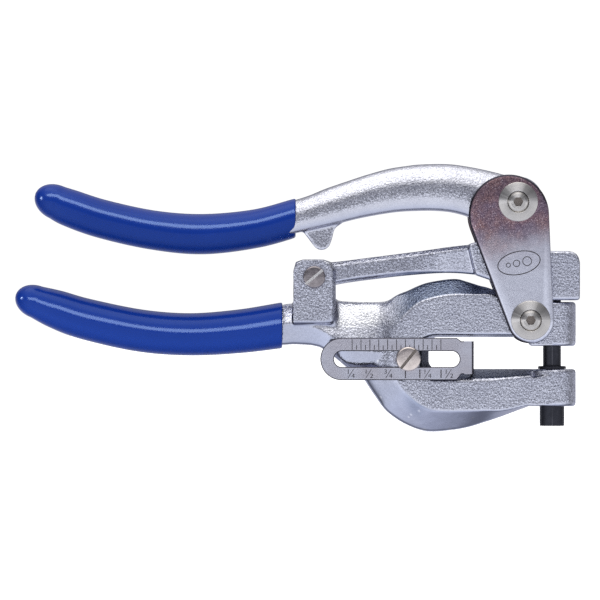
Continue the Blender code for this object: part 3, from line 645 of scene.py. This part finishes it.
# A darker copy of the nickel for the pivot screw's head: painted shade of its recess.
NICKEL_SHADED = plain_metal("shaded_nickel", (0.40, 0.36, 0.365), 0.24, 0.03, 0.6)
# Brighter steel in the pivot screw's slot: painted highlight.
SLOT_HIGHLIGHT = plain_metal("slot_highlight", (0.90, 0.87, 0.84), 0.30)
GROUND = plain_metal("ground_steel", (0.58, 0.58, 0.60), 0.26)
BRONZE = plain_metal("bronze", (0.55, 0.36, 0.16), 0.34)
SCALE = scale_steel()
OXIDE = black_oxide()
FILL = dark_fill()
# Darker steel inside the hex sockets and the gauge screw's slot: painted shade.
RECESS_SHADE = plain_metal("recess_shade", (0.30, 0.26, 0.23), 0.30)


def fit(item, material, body, node):
    """Hangs a piece on its body, in place of a CAD node."""
    if not item.data.materials:
        item.data.materials.append(material)
    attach(item, body)
    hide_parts(node)
    return item


# ---- frame casting

# The bow: where its rim runs, and where its flat pad ends, as (rim X, rim Z, pad X, pad Z).
BOW = (
    (84.0, 9.3, 84.0, 9.9), (74.4, 5.7, 74.4, 7.7), (67.7, 3.4, 67.0, 7.7), (60.1, 1.2, 60.0, 7.6),
    (50.1, 0.02, 50.5, 7.7), (45.0, 0.4, 47.2, 8.3), (40.0, 2.2, 43.6, 10.2), (34.9, 5.2, 40.0, 13.3),
    (30.5, 9.3, 37.5, 16.0), (24.0, 19.0, 35.3, 19.5), (22.5, 27.0, 34.2, 27.0), (26.5, 41.0, 34.6, 35.5),
    (34.6, 48.2, 37.5, 40.1), (40.0, 50.7, 42.5, 45.1), (46.5, 53.4, 46.8, 47.3),
    (56.2, 54.9, 53.5, 48.8), (61.2, 53.9, 58.5, 49.2), (66.0, 52.4, 64.0, 49.2),
    (70.0, 51.3, 70.5, 49.0), (84.0, 45.8, 84.0, 44.5),
)
# Stations across the bow, as (Y, share of the way from rim to pad).
BOW_SIDES = (
    (-8.5, 1.0), (-8.2, 0.93), (-2.6, 0.05), (-1.6, 0.0), (1.6, 0.0), (2.6, 0.05), (8.2, 0.93),
    (8.5, 1.0),
)
# The neck, as (X, top, fullest height, bottom, half thickness).
NECK = (
    (-16.0, 42.4, 37.8, 31.6, 5.6), (-11.0, 44.0, 38.4, 31.0, 6.1), (-5.0, 45.7, 38.9, 31.1, 6.5),
    (0.0, 46.3, 38.9, 31.3, 6.9), (8.0, 47.0, 37.0, 30.4, 7.8), (14.0, 47.3, 33.4, 26.3, 8.3),
    (22.0, 47.2, 30.6, 20.0, 8.4), (28.0, 47.2, 29.0, 20.2, 7.4), (34.0, 47.2, 28.0, 20.5, 5.6),
    (42.0, 46.5, 27.0, 21.0, 3.6),
)


def lens_ring(x, top, full, bottom, half):
    """A leaf-shaped section: a leaning face above its fullest height, a flatter one below."""
    side = [(half * 0.04, top)]
    for i in range(1, 10):
        share = i / 9
        side.append((half * share ** 0.70, top + (full - top) * share))
    for share in (0.1, 0.2, 0.3, 0.4, 0.5, 0.6, 0.7, 0.8, 0.9, 0.95, 0.98, 0.995, 1.0):
        width = (1.0 - 0.30 * share) * math.sqrt(max(1.0 - share ** 40, 0.03))
        side.append((half * width, full + (bottom - full) * share))
    return mirrored(x, side)


def throat_cutter():
    """The opening between the jaws. Its crowned floor falls further near the faces and the back."""
    depth, floor, roof, radius, end = 44.4, 22.5, 33.9, 3.0, 110.0
    corner = PUNCH_X - depth + radius

    def outline(flare, crown):
        reach = radius + flare
        back = 0.85 * crown / reach
        low = [(x - back * (corner - x), z - crown * max(0.0, 1.0 - (z - floor + flare) / 4.0))
               for x, z in arc(corner, floor + radius, reach, -90, -180, 8)]
        high = [(x - back * (corner - x), z + 0.2 * crown * (z - roof + radius) / reach)
                for x, z in arc(corner, roof - radius, reach, 180, 90, 8)]
        run = [end - (end - corner) * i / 24 for i in range(24)]
        run = [(x, floor - flare - crown * min(max((103.0 - x) / 34.0, 0.0), 1.0)) for x in run]
        return low + high + [(end, roof + flare + 0.2 * crown)] + run

    rings = []
    for y in (-14.0, -8.5, -8.1, -7.7, -6.6, -5.0, -3.0, -1.2, 1.2, 3.0, 5.0, 6.6, 7.7, 8.1, 8.5, 14.0):
        out = min(abs(y), FRAME_HALF)
        rim = max(0.0, out - 7.7) / 0.8
        bowed = max(0.0, out - 1.2) / 7.3
        rings.append([(x, y, z) for x, z in outline(0.6 * rim ** 1.5, 3.7 * bowed ** 1.1)])
    return loft("throat", rings)


def frame_casting():
    run = catmull(BOW, 5)
    bow = loft("bow", [[(rx + (px - rx) * share, y, rz + (pz - rz) * share) for rx, rz, px, pz in run]
                       for y, share in BOW_SIDES])
    cut(bow, throat_cutter())
    neck = loft("neck", [lens_ring(*station) for station in catmull(NECK, 3)])
    nose, side = {"radius": 8.45, "x": PUNCH_X + 0.1, "edge": 0.7}, 8.45
    upper = rod_z("upper_nose", low=30.7, high=46.6, **nose)
    lower = rod_z("lower_nose", low=9.1, high=22.45, **nose)
    jaw_low = slab("jaw_low", [(80.0, 9.4), (PUNCH_X, 9.3), (PUNCH_X, 20.4), (80.0, 19.0)], -side, side)
    jaw_high = slab("jaw_high", [(80.0, 35.2), (84.5, 30.9), (PUNCH_X, 30.9), (PUNCH_X, 46.2), (80.0, 45.6)],
                    -side, side)
    face = [(-1.3, 39.2), (12.6, 39.2), (12.6, 58.2), (11.6, 60.6), (9.2, 61.8), (2.4, 61.8), (0.0, 60.6),
            (-1.3, 58.2)]
    core = [(-1.3, 38.4), (14.0, 38.4), (14.0, 58.0), (12.2, 61.0), (9.4, 61.9), (2.2, 61.9), (-0.4, 61.0),
            (-1.3, 57.8)]
    post = loft("post", [[(x, y * (1.0 - 0.0025 * (z - 39.0)), z) for x, z in line]
                         for y, line in ((-8.6, face), (-6.6, core), (6.6, core), (8.6, face))])
    body = cast(join("frame_casting", [bow, neck, upper, lower, jaw_low, jaw_high, post]))
    melt(body, ((24.0, 40.0, 14.0, 12.0), (27.5, 17.5, 9.0, 9.0)), 150)
    uneven(body, 4.5, 0.03, 3.0)
    cut(body, join("frame_cuts", [
        block("clevis", (-5.0, -4.35, 47.6), (16.5, 4.35, 70.0)),
        rod_y("link_hole", LINK_PIVOT, 3.9),
        rod_y("spot_face", LEVER_PIVOT, 4.45, far=-8.0),
        rod_z("punch_hole", 3.4, 25.0, 60.0),
        rod_z("die_hole", 4.6, -3.0, 25.0),
        rod_y("tapped", GAUGE_SCREW, 2.55, far=1.0),
    ]))
    cut(body, rod_y("pivot_hole", LEVER_PIVOT, PIN_BORE))
    fit(smooth_shade(body, 40), CAST, "frame", "frame_body")


# ---- upper handle

HANDLE_TOP = (
    (-14.0, 79.6), (-7.0, 81.3), (-0.7, 83.3), (4.3, 84.9), (10.1, 87.3), (17.3, 89.8), (25.2, 92.4),
    (32.8, 94.5), (38.2, 95.4), (44.3, 96.1), (54.7, 96.2), (61.6, 95.3), (67.3, 94.2), (74.5, 92.4),
    (80.0, 90.6), (84.5, 87.8), (87.6, 84.4),
)
HANDLE_LOW = (
    (-14.0, 68.9), (-7.0, 70.0), (-0.7, 71.3), (6.0, 72.8), (15.7, 75.0), (21.6, 76.5), (28.8, 77.9),
    (36.4, 79.0), (44.3, 79.4), (49.7, 79.4), (55.1, 78.9), (60.5, 77.6), (66.0, 75.4), (74.0, 73.7),
    (80.0, 73.9), (84.5, 75.6), (87.6, 79.4),
)
HOOK = (
    (1.2, 73.2), (2.6, 71.4), (4.0, 69.6), (6.7, 66.2), (9.0, 65.3), (11.3, 66.4), (12.5, 69.0),
    (13.7, 73.0), (16.4, 75.6), (12.0, 78.5), (4.0, 77.0),
)
# Half of the handle's section, as (share of the height from the top, share of the half thickness).
HANDLE_SIDE = (
    (0.0, 0.0), (0.008, 0.16), (0.025, 0.3), (0.055, 0.43), (0.1, 0.545), (0.16, 0.655), (0.22, 0.745),
    (0.28, 0.825), (0.34, 0.893), (0.4, 0.94), (0.47, 0.97), (0.55, 0.99), (0.63, 1.0), (0.71, 0.995),
    (0.79, 0.975), (0.88, 0.93), (0.95, 0.87), (0.985, 0.78), (1.0, 0.6),
)


def upper_handle():
    start, end, count = -13.5, 87.4, 70
    rings = []
    for i in range(count):
        x = start + (end - start) * i / (count - 1)
        top, low = curve_at(HANDLE_TOP, x), curve_at(HANDLE_LOW, x)
        half = 7.7 - 1.6 * min(max((3.0 - x) / 9.0, 0.0), 1.0)
        side = [(half * w, top - (top - low) * s) for s, w in HANDLE_SIDE]
        rings.append(mirrored(x, side))
    bar = loft("bar", rings)
    outline = catmull(HOOK, 5, closed=True)
    hook = loft("hook", [[(x, y * (1.0 - 0.011 * (z - 65.0)), z) for x, z in outline] for y in (-5.7, 5.7)])
    bevel(hook, 0.9)
    hub = rod_y("hub", HANDLE_PIVOT, 9.2, -8.4, 8.4)
    tongue = slab("tongue", lobes(HANDLE_PIVOT, 6.5, KNUCKLE, 5.0, 16), -3.45, 3.45)
    body = cast(join("handle_forging", [bar, hook, hub, tongue]))
    uneven(body, 5.0, 0.025, 11.0)
    bores = [rod_y("bearing", HANDLE_PIVOT, 5.1), rod_y("knuckle_hole", KNUCKLE, 2.95)]
    cut(body, join("handle_cuts", bores))
    fit(smooth_shade(body, 40), CAST_HANDLE, "handle", "upper_handle")


# ---- punch lever

ARM_TOP = (
    (0.9, 57.0), (3.4, 60.3), (7.0, 60.9), (12.4, 60.9), (28.0, 62.8), (44.3, 64.9), (58.0, 66.8),
    (68.0, 67.6),
)
ARM_LOW = (
    (0.9, 54.2), (3.4, 51.0), (7.0, 50.4), (13.9, 52.7), (28.0, 54.8), (44.3, 56.5), (56.0, 57.0),
    (68.0, 56.0),
)
HUB = (
    (61.4, 67.3), (64.6, 68.2), (68.6, 70.3), (74.0, 70.5), (80.0, 68.1), (87.0, 65.4), (92.0, 64.9),
    (97.6, 64.9), (99.6, 64.5), (101.1, 63.1), (101.65, 60.8), (101.65, 47.2), (84.9, 47.2), (80.0, 50.0),
    (74.0, 52.9), (67.0, 55.3), (64.0, 56.3),
)


def punch_lever():
    start, end, count = 0.9, 68.0, 50
    rings = []
    for i in range(count):
        x = start + (end - start) * (i / (count - 1)) ** 1.15
        top, low = curve_at(ARM_TOP, x), curve_at(ARM_LOW, x)
        chamfer = min(1.5, 0.3 * (top - low))
        t = min(max((x - 40.0) / 14.0, 0.0), 1.0)
        foot = low + chamfer * (1.0 - 0.7 * t)
        side = [(2.4, top), (3.72 + 0.4 * t, top - chamfer), (4.12 - 0.6 * t, foot), (2.8, low)]
        rings.append(mirrored(x, side))
    arm = loft("arm", rings)
    hub = bevel(slab("hub", HUB, -9.0, 9.0), 0.9, 30)
    body = cast(join("lever_forging", [arm, hub]), 0.40, 3)
    uneven(body, 4.5, 0.025, 23.0)
    # The T-slot that holds the punch, open towards the jaws' end.
    lip, roof, wide, narrow, swing, beyond = 48.8, 52.2, 4.7, 3.55, 0.9, 110.0
    x = KNUCKLE[0]
    cut(body, join("lever_cuts", [
        block("head_slot", (PUNCH_X - wide - swing, -wide, lip), (beyond, wide, roof)),
        block("fork", (x - 7.5, -3.8, 58.7), (x + 13.5, 3.8, 90.0)),
        rod_y("pivot_hole", LEVER_PIVOT, PIN_BORE),
    ]))
    cut(body, join("lever_cuts", [
        block("neck_slot", (PUNCH_X - narrow - swing, -narrow, 40.0), (beyond, narrow, 50.5)),
        rod_y("pin_hole", KNUCKLE, PIN_BORE),
    ]))
    fit(smooth_shade(body, 38), CAST_LEVER, "lever", "punch_lever")


# ---- grips

# The middle line of each grip, as (X, Z, radius), from its mouth to where the tip starts.
LOWER_LINE = (
    (-5.7, 38.15, 8.2), (-20.5, 36.05, 7.9), (-38.5, 34.95, 7.65), (-56.5, 36.3, 7.65),
    (-76.0, 40.45, 7.45), (-86.5, 43.9, 7.0), (-93.75, 46.6, 5.95),
)
UPPER_LINE = (
    (-0.9, 76.7, 6.85), (-15.0, 72.95, 7.0), (-34.0, 71.0, 7.3), (-52.0, 72.5, 7.1), (-70.0, 76.45, 7.0),
    (-81.5, 80.3, 6.8), (-86.4, 82.4, 6.3),
)
WALL = 1.15
# The rolled mouth, from deep inside to the outer face, as (station, inset, how far it stands out).
MOUTH = (
    (16, WALL + 0.6, 0.0), (8, WALL, 0.0), (1, WALL, 0.0), (0, WALL, 0.2), (0, 0.8 * WALL, 0.42),
    (0, 0.5 * WALL, 0.5), (0, 0.2 * WALL, 0.36), (0, 0.0, 0.0),
)


def grip(name, node, line, body, seed):
    """A dipped sleeve with a rolled mouth, a wall and a blunt tip."""
    count, tip_steps = 48, 14
    path = catmull(line, 14)
    last, before = Vector(path[-1]), Vector(path[-2])
    heading = (last.xy - before.xy).normalized()
    for i in range(1, tip_steps + 1):
        angle = math.pi / 2 * i / (tip_steps + 0.5)
        spot = last.xy + heading * 1.33 * last.z * math.sin(angle)
        path.append((spot.x, spot.y, last.z * math.cos(angle)))

    def ring(index, inset=0.0, shift=0.0):
        x, z, radius = path[index]
        ahead, behind = Vector(path[min(index + 1, len(path) - 1)]), Vector(path[max(index - 1, 0)])
        along = (ahead.xy - behind.xy).normalized()
        up = Vector((along.y, -along.x)) if along.x < 0 else Vector((-along.y, along.x))
        # The mouth is cut upright, and the next sections turn square to the line.
        upright = max(0.0, 1.0 - index / 9)
        up = Vector((up.x - up.x * upright, up.y)) / max(abs(up.y), 0.5) ** (2 * upright)
        r = max(radius - inset, 0.02)
        points = []
        for i in range(count):
            a = 2 * math.pi * i / count
            lift, aside = r * math.sin(a), 1.12 * r * math.cos(a)
            wander = 1 + 0.018 * noise.noise(Vector((x * 0.05 + seed, z * 0.05, a)))
            spot = Vector((x, z)) + up * lift - along * shift
            points.append((spot.x, aside * wander, spot.y))
        return points

    rings = [ring(*station) for station in MOUTH] + [ring(i) for i in range(1, len(path))]
    middle = sum((Vector(point) for point in rings[-1]), Vector()) / count
    item = loft(name, rings, tip=tuple(middle + 0.06 * Vector((heading.x, 0.0, heading.y))))
    fine = item.modifiers.new("fine", "SUBSURF")
    fine.levels = fine.render_levels = 1
    settle(item).data.shade_smooth()
    return fit(item, VINYL, body, node)


# ---- side plates

def side_plate(name, node, side):
    outline = lobes((76.0, 77.9), 14.4, LINK_PIVOT, 8.3, 96)
    # Rounded outer rim, square inner rim, as (depth, inset).
    steps = ((0.0, 1.25), (0.12, 0.85), (0.30, 0.42), (0.55, 0.12), (0.85, 0.0), (2.1, 0.0), (2.4, 0.3))
    item = loft(name, [[(x, side * (PLATE_OUT - down), z) for x, z in offset(outline, inset)]
                       for down, inset in steps])
    cut(item, join("holes", [rod_y("hole", where, 3.85) for where in (HANDLE_PIVOT, LINK_PIVOT)]))
    item.data.materials.append(PLATE)
    if side < 0:
        cut(item, badge(), materials=True)
    fit(smooth_shade(item, 30), PLATE, "links", node)


def groove(path, radius):
    """A round-bottomed line along a closed path of (x, z), to engrave in the front plate."""
    sides = [2 * math.pi * k / 8 for k in range(8)]
    rings = []
    for i, (x, z) in enumerate(path):
        along = (Vector(path[(i + 1) % len(path)]) - Vector(path[i - 1])).normalized()
        out = Vector((along.y, -along.x)) * radius
        rings.append([(x + out.x * math.cos(a), radius * math.sin(a) - PLATE_OUT, z + out.y * math.cos(a))
                      for a in sides])
    return loft("groove", rings, closed=True)


def badge():
    """A plain oval with three round dots, engraved."""
    cx, cz, tilt = 79.6, 60.6, math.radians(12)

    def tilted(u, v):
        return cx + u * math.cos(tilt) - v * math.sin(tilt), cz + u * math.sin(tilt) + v * math.cos(tilt)

    parts = [groove([tilted(7.7 * u, 4.1 * v) for u, v in circle(0.0, 0.0, 1.0, 72)], 0.17)]
    for u, radius in ((-3.9, 0.75), (-0.9, 1.15), (3.0, 1.6)):
        parts.append(groove(circle(*tilted(u, 0.0), radius, 36), 0.14))
    made = join("badge", parts)
    made.data.materials.append(FILL)
    return made


# ---- hardware

def link_screw(name, node, where):
    """The bolt of a link: a round head behind, and an end with a hex socket in front."""
    seat = PLATE_OUT + SEAT_GAP
    tip, back, shank, head = seat + 2.2, -(seat + 2.35), 3.7, 7.05
    item = lathe(name, eased([
        (0.0, tip, False), (2.75, tip, True), (shank, tip - 0.45, True), (shank, -seat, False),
        (head, -seat, True), (head, back, True), (0.0, back, False),
    ], 0.2))
    across_flats, depth = 3.1, 2.6
    hexagon = circle(0.0, 0.0, across_flats / math.sqrt(3), 6)
    socket = loft("socket", [[(x, y, z) for x, y in hexagon] for z in (tip - depth, tip + 1)])
    socket.data.materials.append(RECESS_SHADE)
    item.data.materials.append(TURNED)
    cut(item, socket, materials=True)
    fit(across(smooth_shade(item, 28), where), TURNED, "links", node)


def link_nut(name, node, where):
    back = PLATE_OUT + SEAT_GAP
    front, bore, collar = back + 2.35, 3.85, 7.05
    item = lathe(name, eased([
        (bore, front, True), (collar, front - 0.35, True), (collar, back, True), (bore, back, False),
    ], 0.3))
    fit(across(smooth_shade(item, 28), where), TURNED, "links", node)


def slotted_screw(name, node, body, where, face, shank, depth, head, height, angle, metal, inner):
    """A screw with a slightly domed head on `face`, slotted at `angle` degrees."""
    seat = face + SEAT_GAP
    top = seat + height
    item = lathe(name, eased([
        (0.0, top + 0.12, False), (head * 0.6, top + 0.06, False), (head, top - 0.05, True),
        (head, seat, True), (shank, seat, False), (shank, -depth, True), (0.0, -depth, False),
    ], 0.7, 4))
    wide, deep, long = 0.50, 1.2, 2 * head
    corners = [(-long, -wide), (long, -wide), (long, wide), (-long, wide)]
    slot = loft("slot", [[(x, y, z) for x, y in corners] for z in (top - deep, top + 1)])
    slot.data.materials.append(inner)
    slot.rotation_euler.z = math.radians(angle)
    item.data.materials.append(metal)
    cut(item, slot, materials=True)
    fit(across(smooth_shade(item, 30), where), metal, body, node)


def pivot_nut():
    start, height, across_flats, count = FRAME_HALF + SEAT_GAP, 3.2, 8.0, 48
    radius = across_flats / math.sqrt(3)
    rings = []
    for share, chamfer in ((0.0, 0.88), (0.1, 1.0), (0.9, 1.0), (1.0, 0.88)):
        ring = []
        for a in (2 * math.pi * i / count for i in range(count)):
            flat = across_flats / 2 / math.cos(a % (math.pi / 3) - math.pi / 6)
            r = min(flat, radius * chamfer)
            ring.append((r * math.cos(a), r * math.sin(a), -start - share * height))
        rings.append(ring)
    item = loft("pivot_nut", rings)
    cut(item, lathe("bore", [(0.0, 0.0), (PIN_BORE, 0.0), (PIN_BORE, -40.0), (0.0, -40.0)]))
    fit(across(smooth_shade(item, 25), LEVER_PIVOT), NICKEL, "frame", "lever_pivot_nut")


# ---- back gauge

def numeral(label, x, y, z, height=4.5):
    """One number of the scale, as a cutter that stands out of the front face."""
    text = bpy.data.curves.new("numeral", "FONT")
    text.body = label
    text.size = height * MM
    text.extrude = 0.3 * MM
    text.offset = -0.02 * MM
    text.align_x = "CENTER"
    text.resolution_u = 3
    letters = across(put("numeral", text), (x, z))
    letters.location.y = y * MM
    bpy.context.view_layer.update()
    graph = bpy.context.evaluated_depsgraph_get()
    mesh = bpy.data.meshes.new_from_object(letters.evaluated_get(graph), depsgraph=graph)
    mesh.transform(letters.matrix_world)
    drop(letters)
    return put("numeral", mesh)


def gauge():
    """The slotted strip with its inch scale, the tab bent into the throat, and the fence on it."""
    middle, front, rear = GAUGE_SCREW[1], -GAUGE_OUT, -GAUGE_IN
    half, left, shoulder, fold, tab_low, tab_high = 7.56, 8.4, 57.4, 63.5, 20.7, 32.5
    low, high, thick, ease, bend = middle - half, middle + half, rear - front, 0.3, 1.38
    outline = arc(left + half, middle, half, 90, 270, 40) + [
        (shoulder, low), (shoulder + 1.6, tab_low), (61.0, tab_low),
        (61.0, tab_high), (shoulder + 1.6, tab_high), (shoulder, high)]
    small = offset(outline, ease)
    item = loft("gauge_plate_strip", [[(x, y, z) for x, z in line] for y, line in (
        (front, small), (front + ease, outline), (rear - ease, outline), (rear, small))])
    elbow = arc(fold - bend, front + bend, bend, -90, 0, 8)
    elbow += [(fold - thick, front + bend), (60.0, rear), (60.0, front)]
    cut(item, loft("tab", [[(x, y, z) for x, y in elbow] for z in (tab_low, tab_high)]), "UNION")
    cut(item, block("fence", (fold - thick, -8.9, 23.0), (fold - 0.02, 4.0, 30.3)), "UNION")
    slot = arc(16.15, middle, 2.85, 90, 270, 20) + arc(55.55, middle, 2.85, -90, 90, 20)
    flared = offset(slot, -ease - 0.4)
    cut(item, loft("slot", [[(x, y, z) for x, z in line] for y, line in (
        (front - 0.4, flared), (front + ease, slot), (rear - ease, slot), (rear + 0.4, flared))]))
    item.data.materials.append(SCALE)
    eighth, first_tick = 3.186 / 2, 19.8
    marks = []
    for i in range(21):
        x = first_tick + eighth * i
        tip = high - 0.5 if i % 2 == 0 else middle + 5.0
        marks.append(block("tick", (x - 0.14, front - 0.5, middle + 3.35), (x + 0.14, front + 0.12, tip)))
    for label, x in (("¼", 19.6), ("½", 26.0), ("¾", 32.9), ("1", 38.9), ("1¼", 46.0), ("1½", 53.6)):
        marks.append(numeral(label, x, front - 0.16, 19.3))
    marks = join("marks", marks, weld=True)
    marks.data.materials.append(FILL)
    cut(item, marks, materials=True)
    fit(smooth_shade(item, 30), SCALE, "gauge", "gauge_plate")


# ---- punch and die

def on_punch_line(name, profile, ease):
    item = smooth_shade(lathe(name, eased(profile, ease)), 30)
    item.location.x = PUNCH_X * MM
    bpy.context.view_layer.update()
    return item


def punch():
    low, high = (corner.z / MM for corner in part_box("punch"))
    head, shank, neck = 4.4, 3.25, 49.5
    item = on_punch_line("punch_ram", [
        (0.0, high, False), (head, high, True), (head, neck, True), (shank, neck, True), (shank, low, True),
        (0.0, low, False),
    ], 0.25)
    fit(item, OXIDE, "punch", "punch")


def die():
    low, high = (corner.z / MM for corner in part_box("die"))
    flange, radius, bore, relief, seat = 5.05, 4.45, 3.35, 3.8, 22.55
    item = on_punch_line("die_button", [
        (bore, high, False), (flange, high, True), (flange, seat, False), (radius, seat, False),
        (radius, low, True), (relief, low, False), (relief, high - 3.9, False), (bore, high - 3.5, False),
    ], 0.45)
    cut(item, block("slot", (80.0, -0.65, low - 3), (105.0, 0.65, low + 1.2)))
    fit(smooth_shade(item, 30), OXIDE, "frame", "die")


# ---- stage

# The room that the metal reflects, from below (0) to overhead (1).
ROOM_FRONT = (
    (0.0, (0.62, 0.66, 0.82)), (0.2, (0.85, 0.9, 1.03)), (0.33, (0.95, 0.98, 1.06)),
    (0.44, (0.96, 0.99, 1.07)), (0.49, (0.84, 0.87, 0.95)), (0.535, (0.28, 0.29, 0.34)),
    (0.66, (0.24, 0.25, 0.3)), (0.8, (0.66, 0.67, 0.7)), (0.91, 1.35), (1.0, 1.6),
)
ROOM_SIDE = (
    (0.0, (0.16, 0.17, 0.22)), (0.35, (0.14, 0.15, 0.18)), (0.5, (0.06, 0.06, 0.08)),
    (0.6, (0.05, 0.05, 0.07)), (0.74, (0.08, 0.08, 0.1)), (0.9, (0.45, 0.45, 0.47)), (1.0, 1.5),
)
ROOM_BEHIND = (
    (0.0, (0.34, 0.37, 0.47)), (0.38, (0.6, 0.62, 0.7)), (0.49, (0.56, 0.57, 0.63)),
    (0.56, (0.34, 0.35, 0.39)), (0.7, (0.32, 0.33, 0.36)), (0.85, (0.8, 0.8, 0.82)), (1.0, 1.4),
)
# How bright it is from the far left (0) to the far right (1).
ROOM_FLANKS = (
    (0.0, 0.5), (0.07, 0.95), (0.2, 1.3), (0.4, 1.0), (0.74, 1.0), (0.9, 1.05), (0.96, 1.15), (1.0, 1.5),
)


def studio():
    """A white backdrop, and a room of soft light bands for reflections."""
    scene = bpy.context.scene
    scene.view_settings.view_transform = "Standard"
    scene.view_settings.look = "None"
    scene.cycles.use_denoising = False
    scene.world = bpy.data.worlds.new("studio")
    scene.world.use_nodes = True
    sky = Graph(scene.world.node_tree)
    way = sky.split(sky.node("TexCoord").outputs["Generated"])
    level = sky.halved(way["Z"])
    room = sky.mix(sky.span(way["Y"], 0.25, -0.6), sky.ramp(level, *ROOM_SIDE), sky.ramp(level, *ROOM_FRONT))
    room = sky.mix(sky.span(way["Y"], 0.35, 0.75), room, sky.ramp(level, *ROOM_BEHIND))
    room = sky.mix(1.0, room, sky.ramp(sky.halved(way["X"]), *ROOM_FLANKS), "MULTIPLY")
    lit = sky.tree.nodes["Background"]
    sky.feed(lit.inputs["Color"], room)
    white = sky.node("Background", {"Color": (1.0, 1.0, 1.0), "Strength": 1.05})
    seen = sky.node("LightPath").outputs["Is Camera Ray"]
    blend = sky.node("MixShader", {0: seen, 1: lit.outputs[0], 2: white.outputs[0]})
    sky.feed(sky.tree.nodes["World Output"].inputs["Surface"], blend.outputs[0])


def area(name, place, aim, size, power, colour=(1.0, 1.0, 1.0)):
    data = bpy.data.lights.new(name, "AREA")
    data.shape = "RECTANGLE"
    data.size, data.size_y = size
    data.energy = power
    data.color = colour
    light = put(name, data)
    light.location = place
    light.rotation_mode = "QUATERNION"
    light.rotation_quaternion = (Vector(aim) - Vector(place)).to_track_quat("-Z", "Y")
    return light


def stage(grips):
    """The floor and lights, in metres. `grips` gives each grip and how high its light stands, in degrees."""
    made = bmesh.new()
    bmesh.ops.create_grid(made, x_segments=1, y_segments=1, size=8.0)
    floor = from_bmesh("floor", made, 1.0)
    floor.location.z = cad_low.z - 0.00005
    paper = Surface("paper", 0.0)
    tone = paper.mix(paper.noise(400.0, 2.0), (0.84, 0.84, 0.84), (0.87, 0.87, 0.87))
    floor.data.materials.append(paper.done(tone, 0.9, Emission_Color=(1.0, 1.0, 1.0), Emission_Strength=0.75,
                                           Specular_IOR_Level=0.0))
    floor.visible_glossy = False
    area("top", (-0.15, -0.15, 1.1), (0.0, 0.0, 0.05), (1.2, 0.5), 1.2)
    area("right", (1.13, 0.41, 0.05), (0.08, 0.0, 0.05), (0.9, 1.0), 0.6)
    for item, rise in grips:
        receiver = bpy.data.collections.new(item.name + "_lights")
        receiver.objects.link(item)
        lift = math.radians(rise)
        strip = area("strip", (-0.05, -math.cos(lift), 0.05 + math.sin(lift)), (-0.05, 0.0, 0.05),
                     (1.6, 0.34), 20.0, (1.0, 0.98, 0.95))
        glint = area("glint", (-1.3, -0.25, 0.30), (-0.1, 0.0, 0.06), (0.2, 0.25), 6.0)
        for light in (strip, glint):
            light.data.diffuse_factor = 0.0
            light.light_linking.receiver_collection = receiver


def camera():
    """A long lens, square to the tool."""
    data = bpy.data.cameras.new("camera")
    data.lens = 500.0
    item = put("camera", data)
    item.location = (1.1 * MM, -3.0, 47.3 * MM)
    item.rotation_euler = (math.radians(90), 0.0, 0.0)
    bpy.context.scene.camera = item


frame_casting()
upper_handle()
punch_lever()
lower_grip = grip("lower_grip_sleeve", "lower_grip", LOWER_LINE, "frame", 2.0)
upper_grip = grip("upper_grip_sleeve", "upper_grip", UPPER_LINE, "handle", 5.0)
side_plate("link_front", "side_plate_front", -1)
side_plate("link_rear", "side_plate_rear", 1)
link_screw("bolt_upper", "upper_link_screw", HANDLE_PIVOT)
link_screw("bolt_lower", "lower_link_screw", LINK_PIVOT)
link_nut("collar_upper", "upper_link_nut", HANDLE_PIVOT)
link_nut("collar_lower", "lower_link_nut", LINK_PIVOT)
slotted_screw("pivot_screw", "lever_pivot_screw", "frame", LEVER_PIVOT, FRAME_HALF, shank=2.5, depth=12.3,
              head=4.0, height=2.3, angle=40, metal=NICKEL_SHADED, inner=SLOT_HIGHLIGHT)
slotted_screw("gauge_clamp", "gauge_screw", "clamp_screw", GAUGE_SCREW, GAUGE_OUT, shank=2.4, depth=0.0,
              head=4.4, height=2.4, angle=51, metal=NICKEL, inner=RECESS_SHADE)
pivot_nut()
gauge()
punch()
die()
for node in ("knuckle_pin", "handle_bushing", "upper_washer_front", "upper_washer_rear",
             "lower_washer_front", "lower_washer_rear"):
    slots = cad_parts[node].data.materials
    slots.clear()
    slots.append(BRONZE if node == "handle_bushing" else GROUND)
studio()
stage(((lower_grip, 21.0), (upper_grip, 46.0)))
camera()
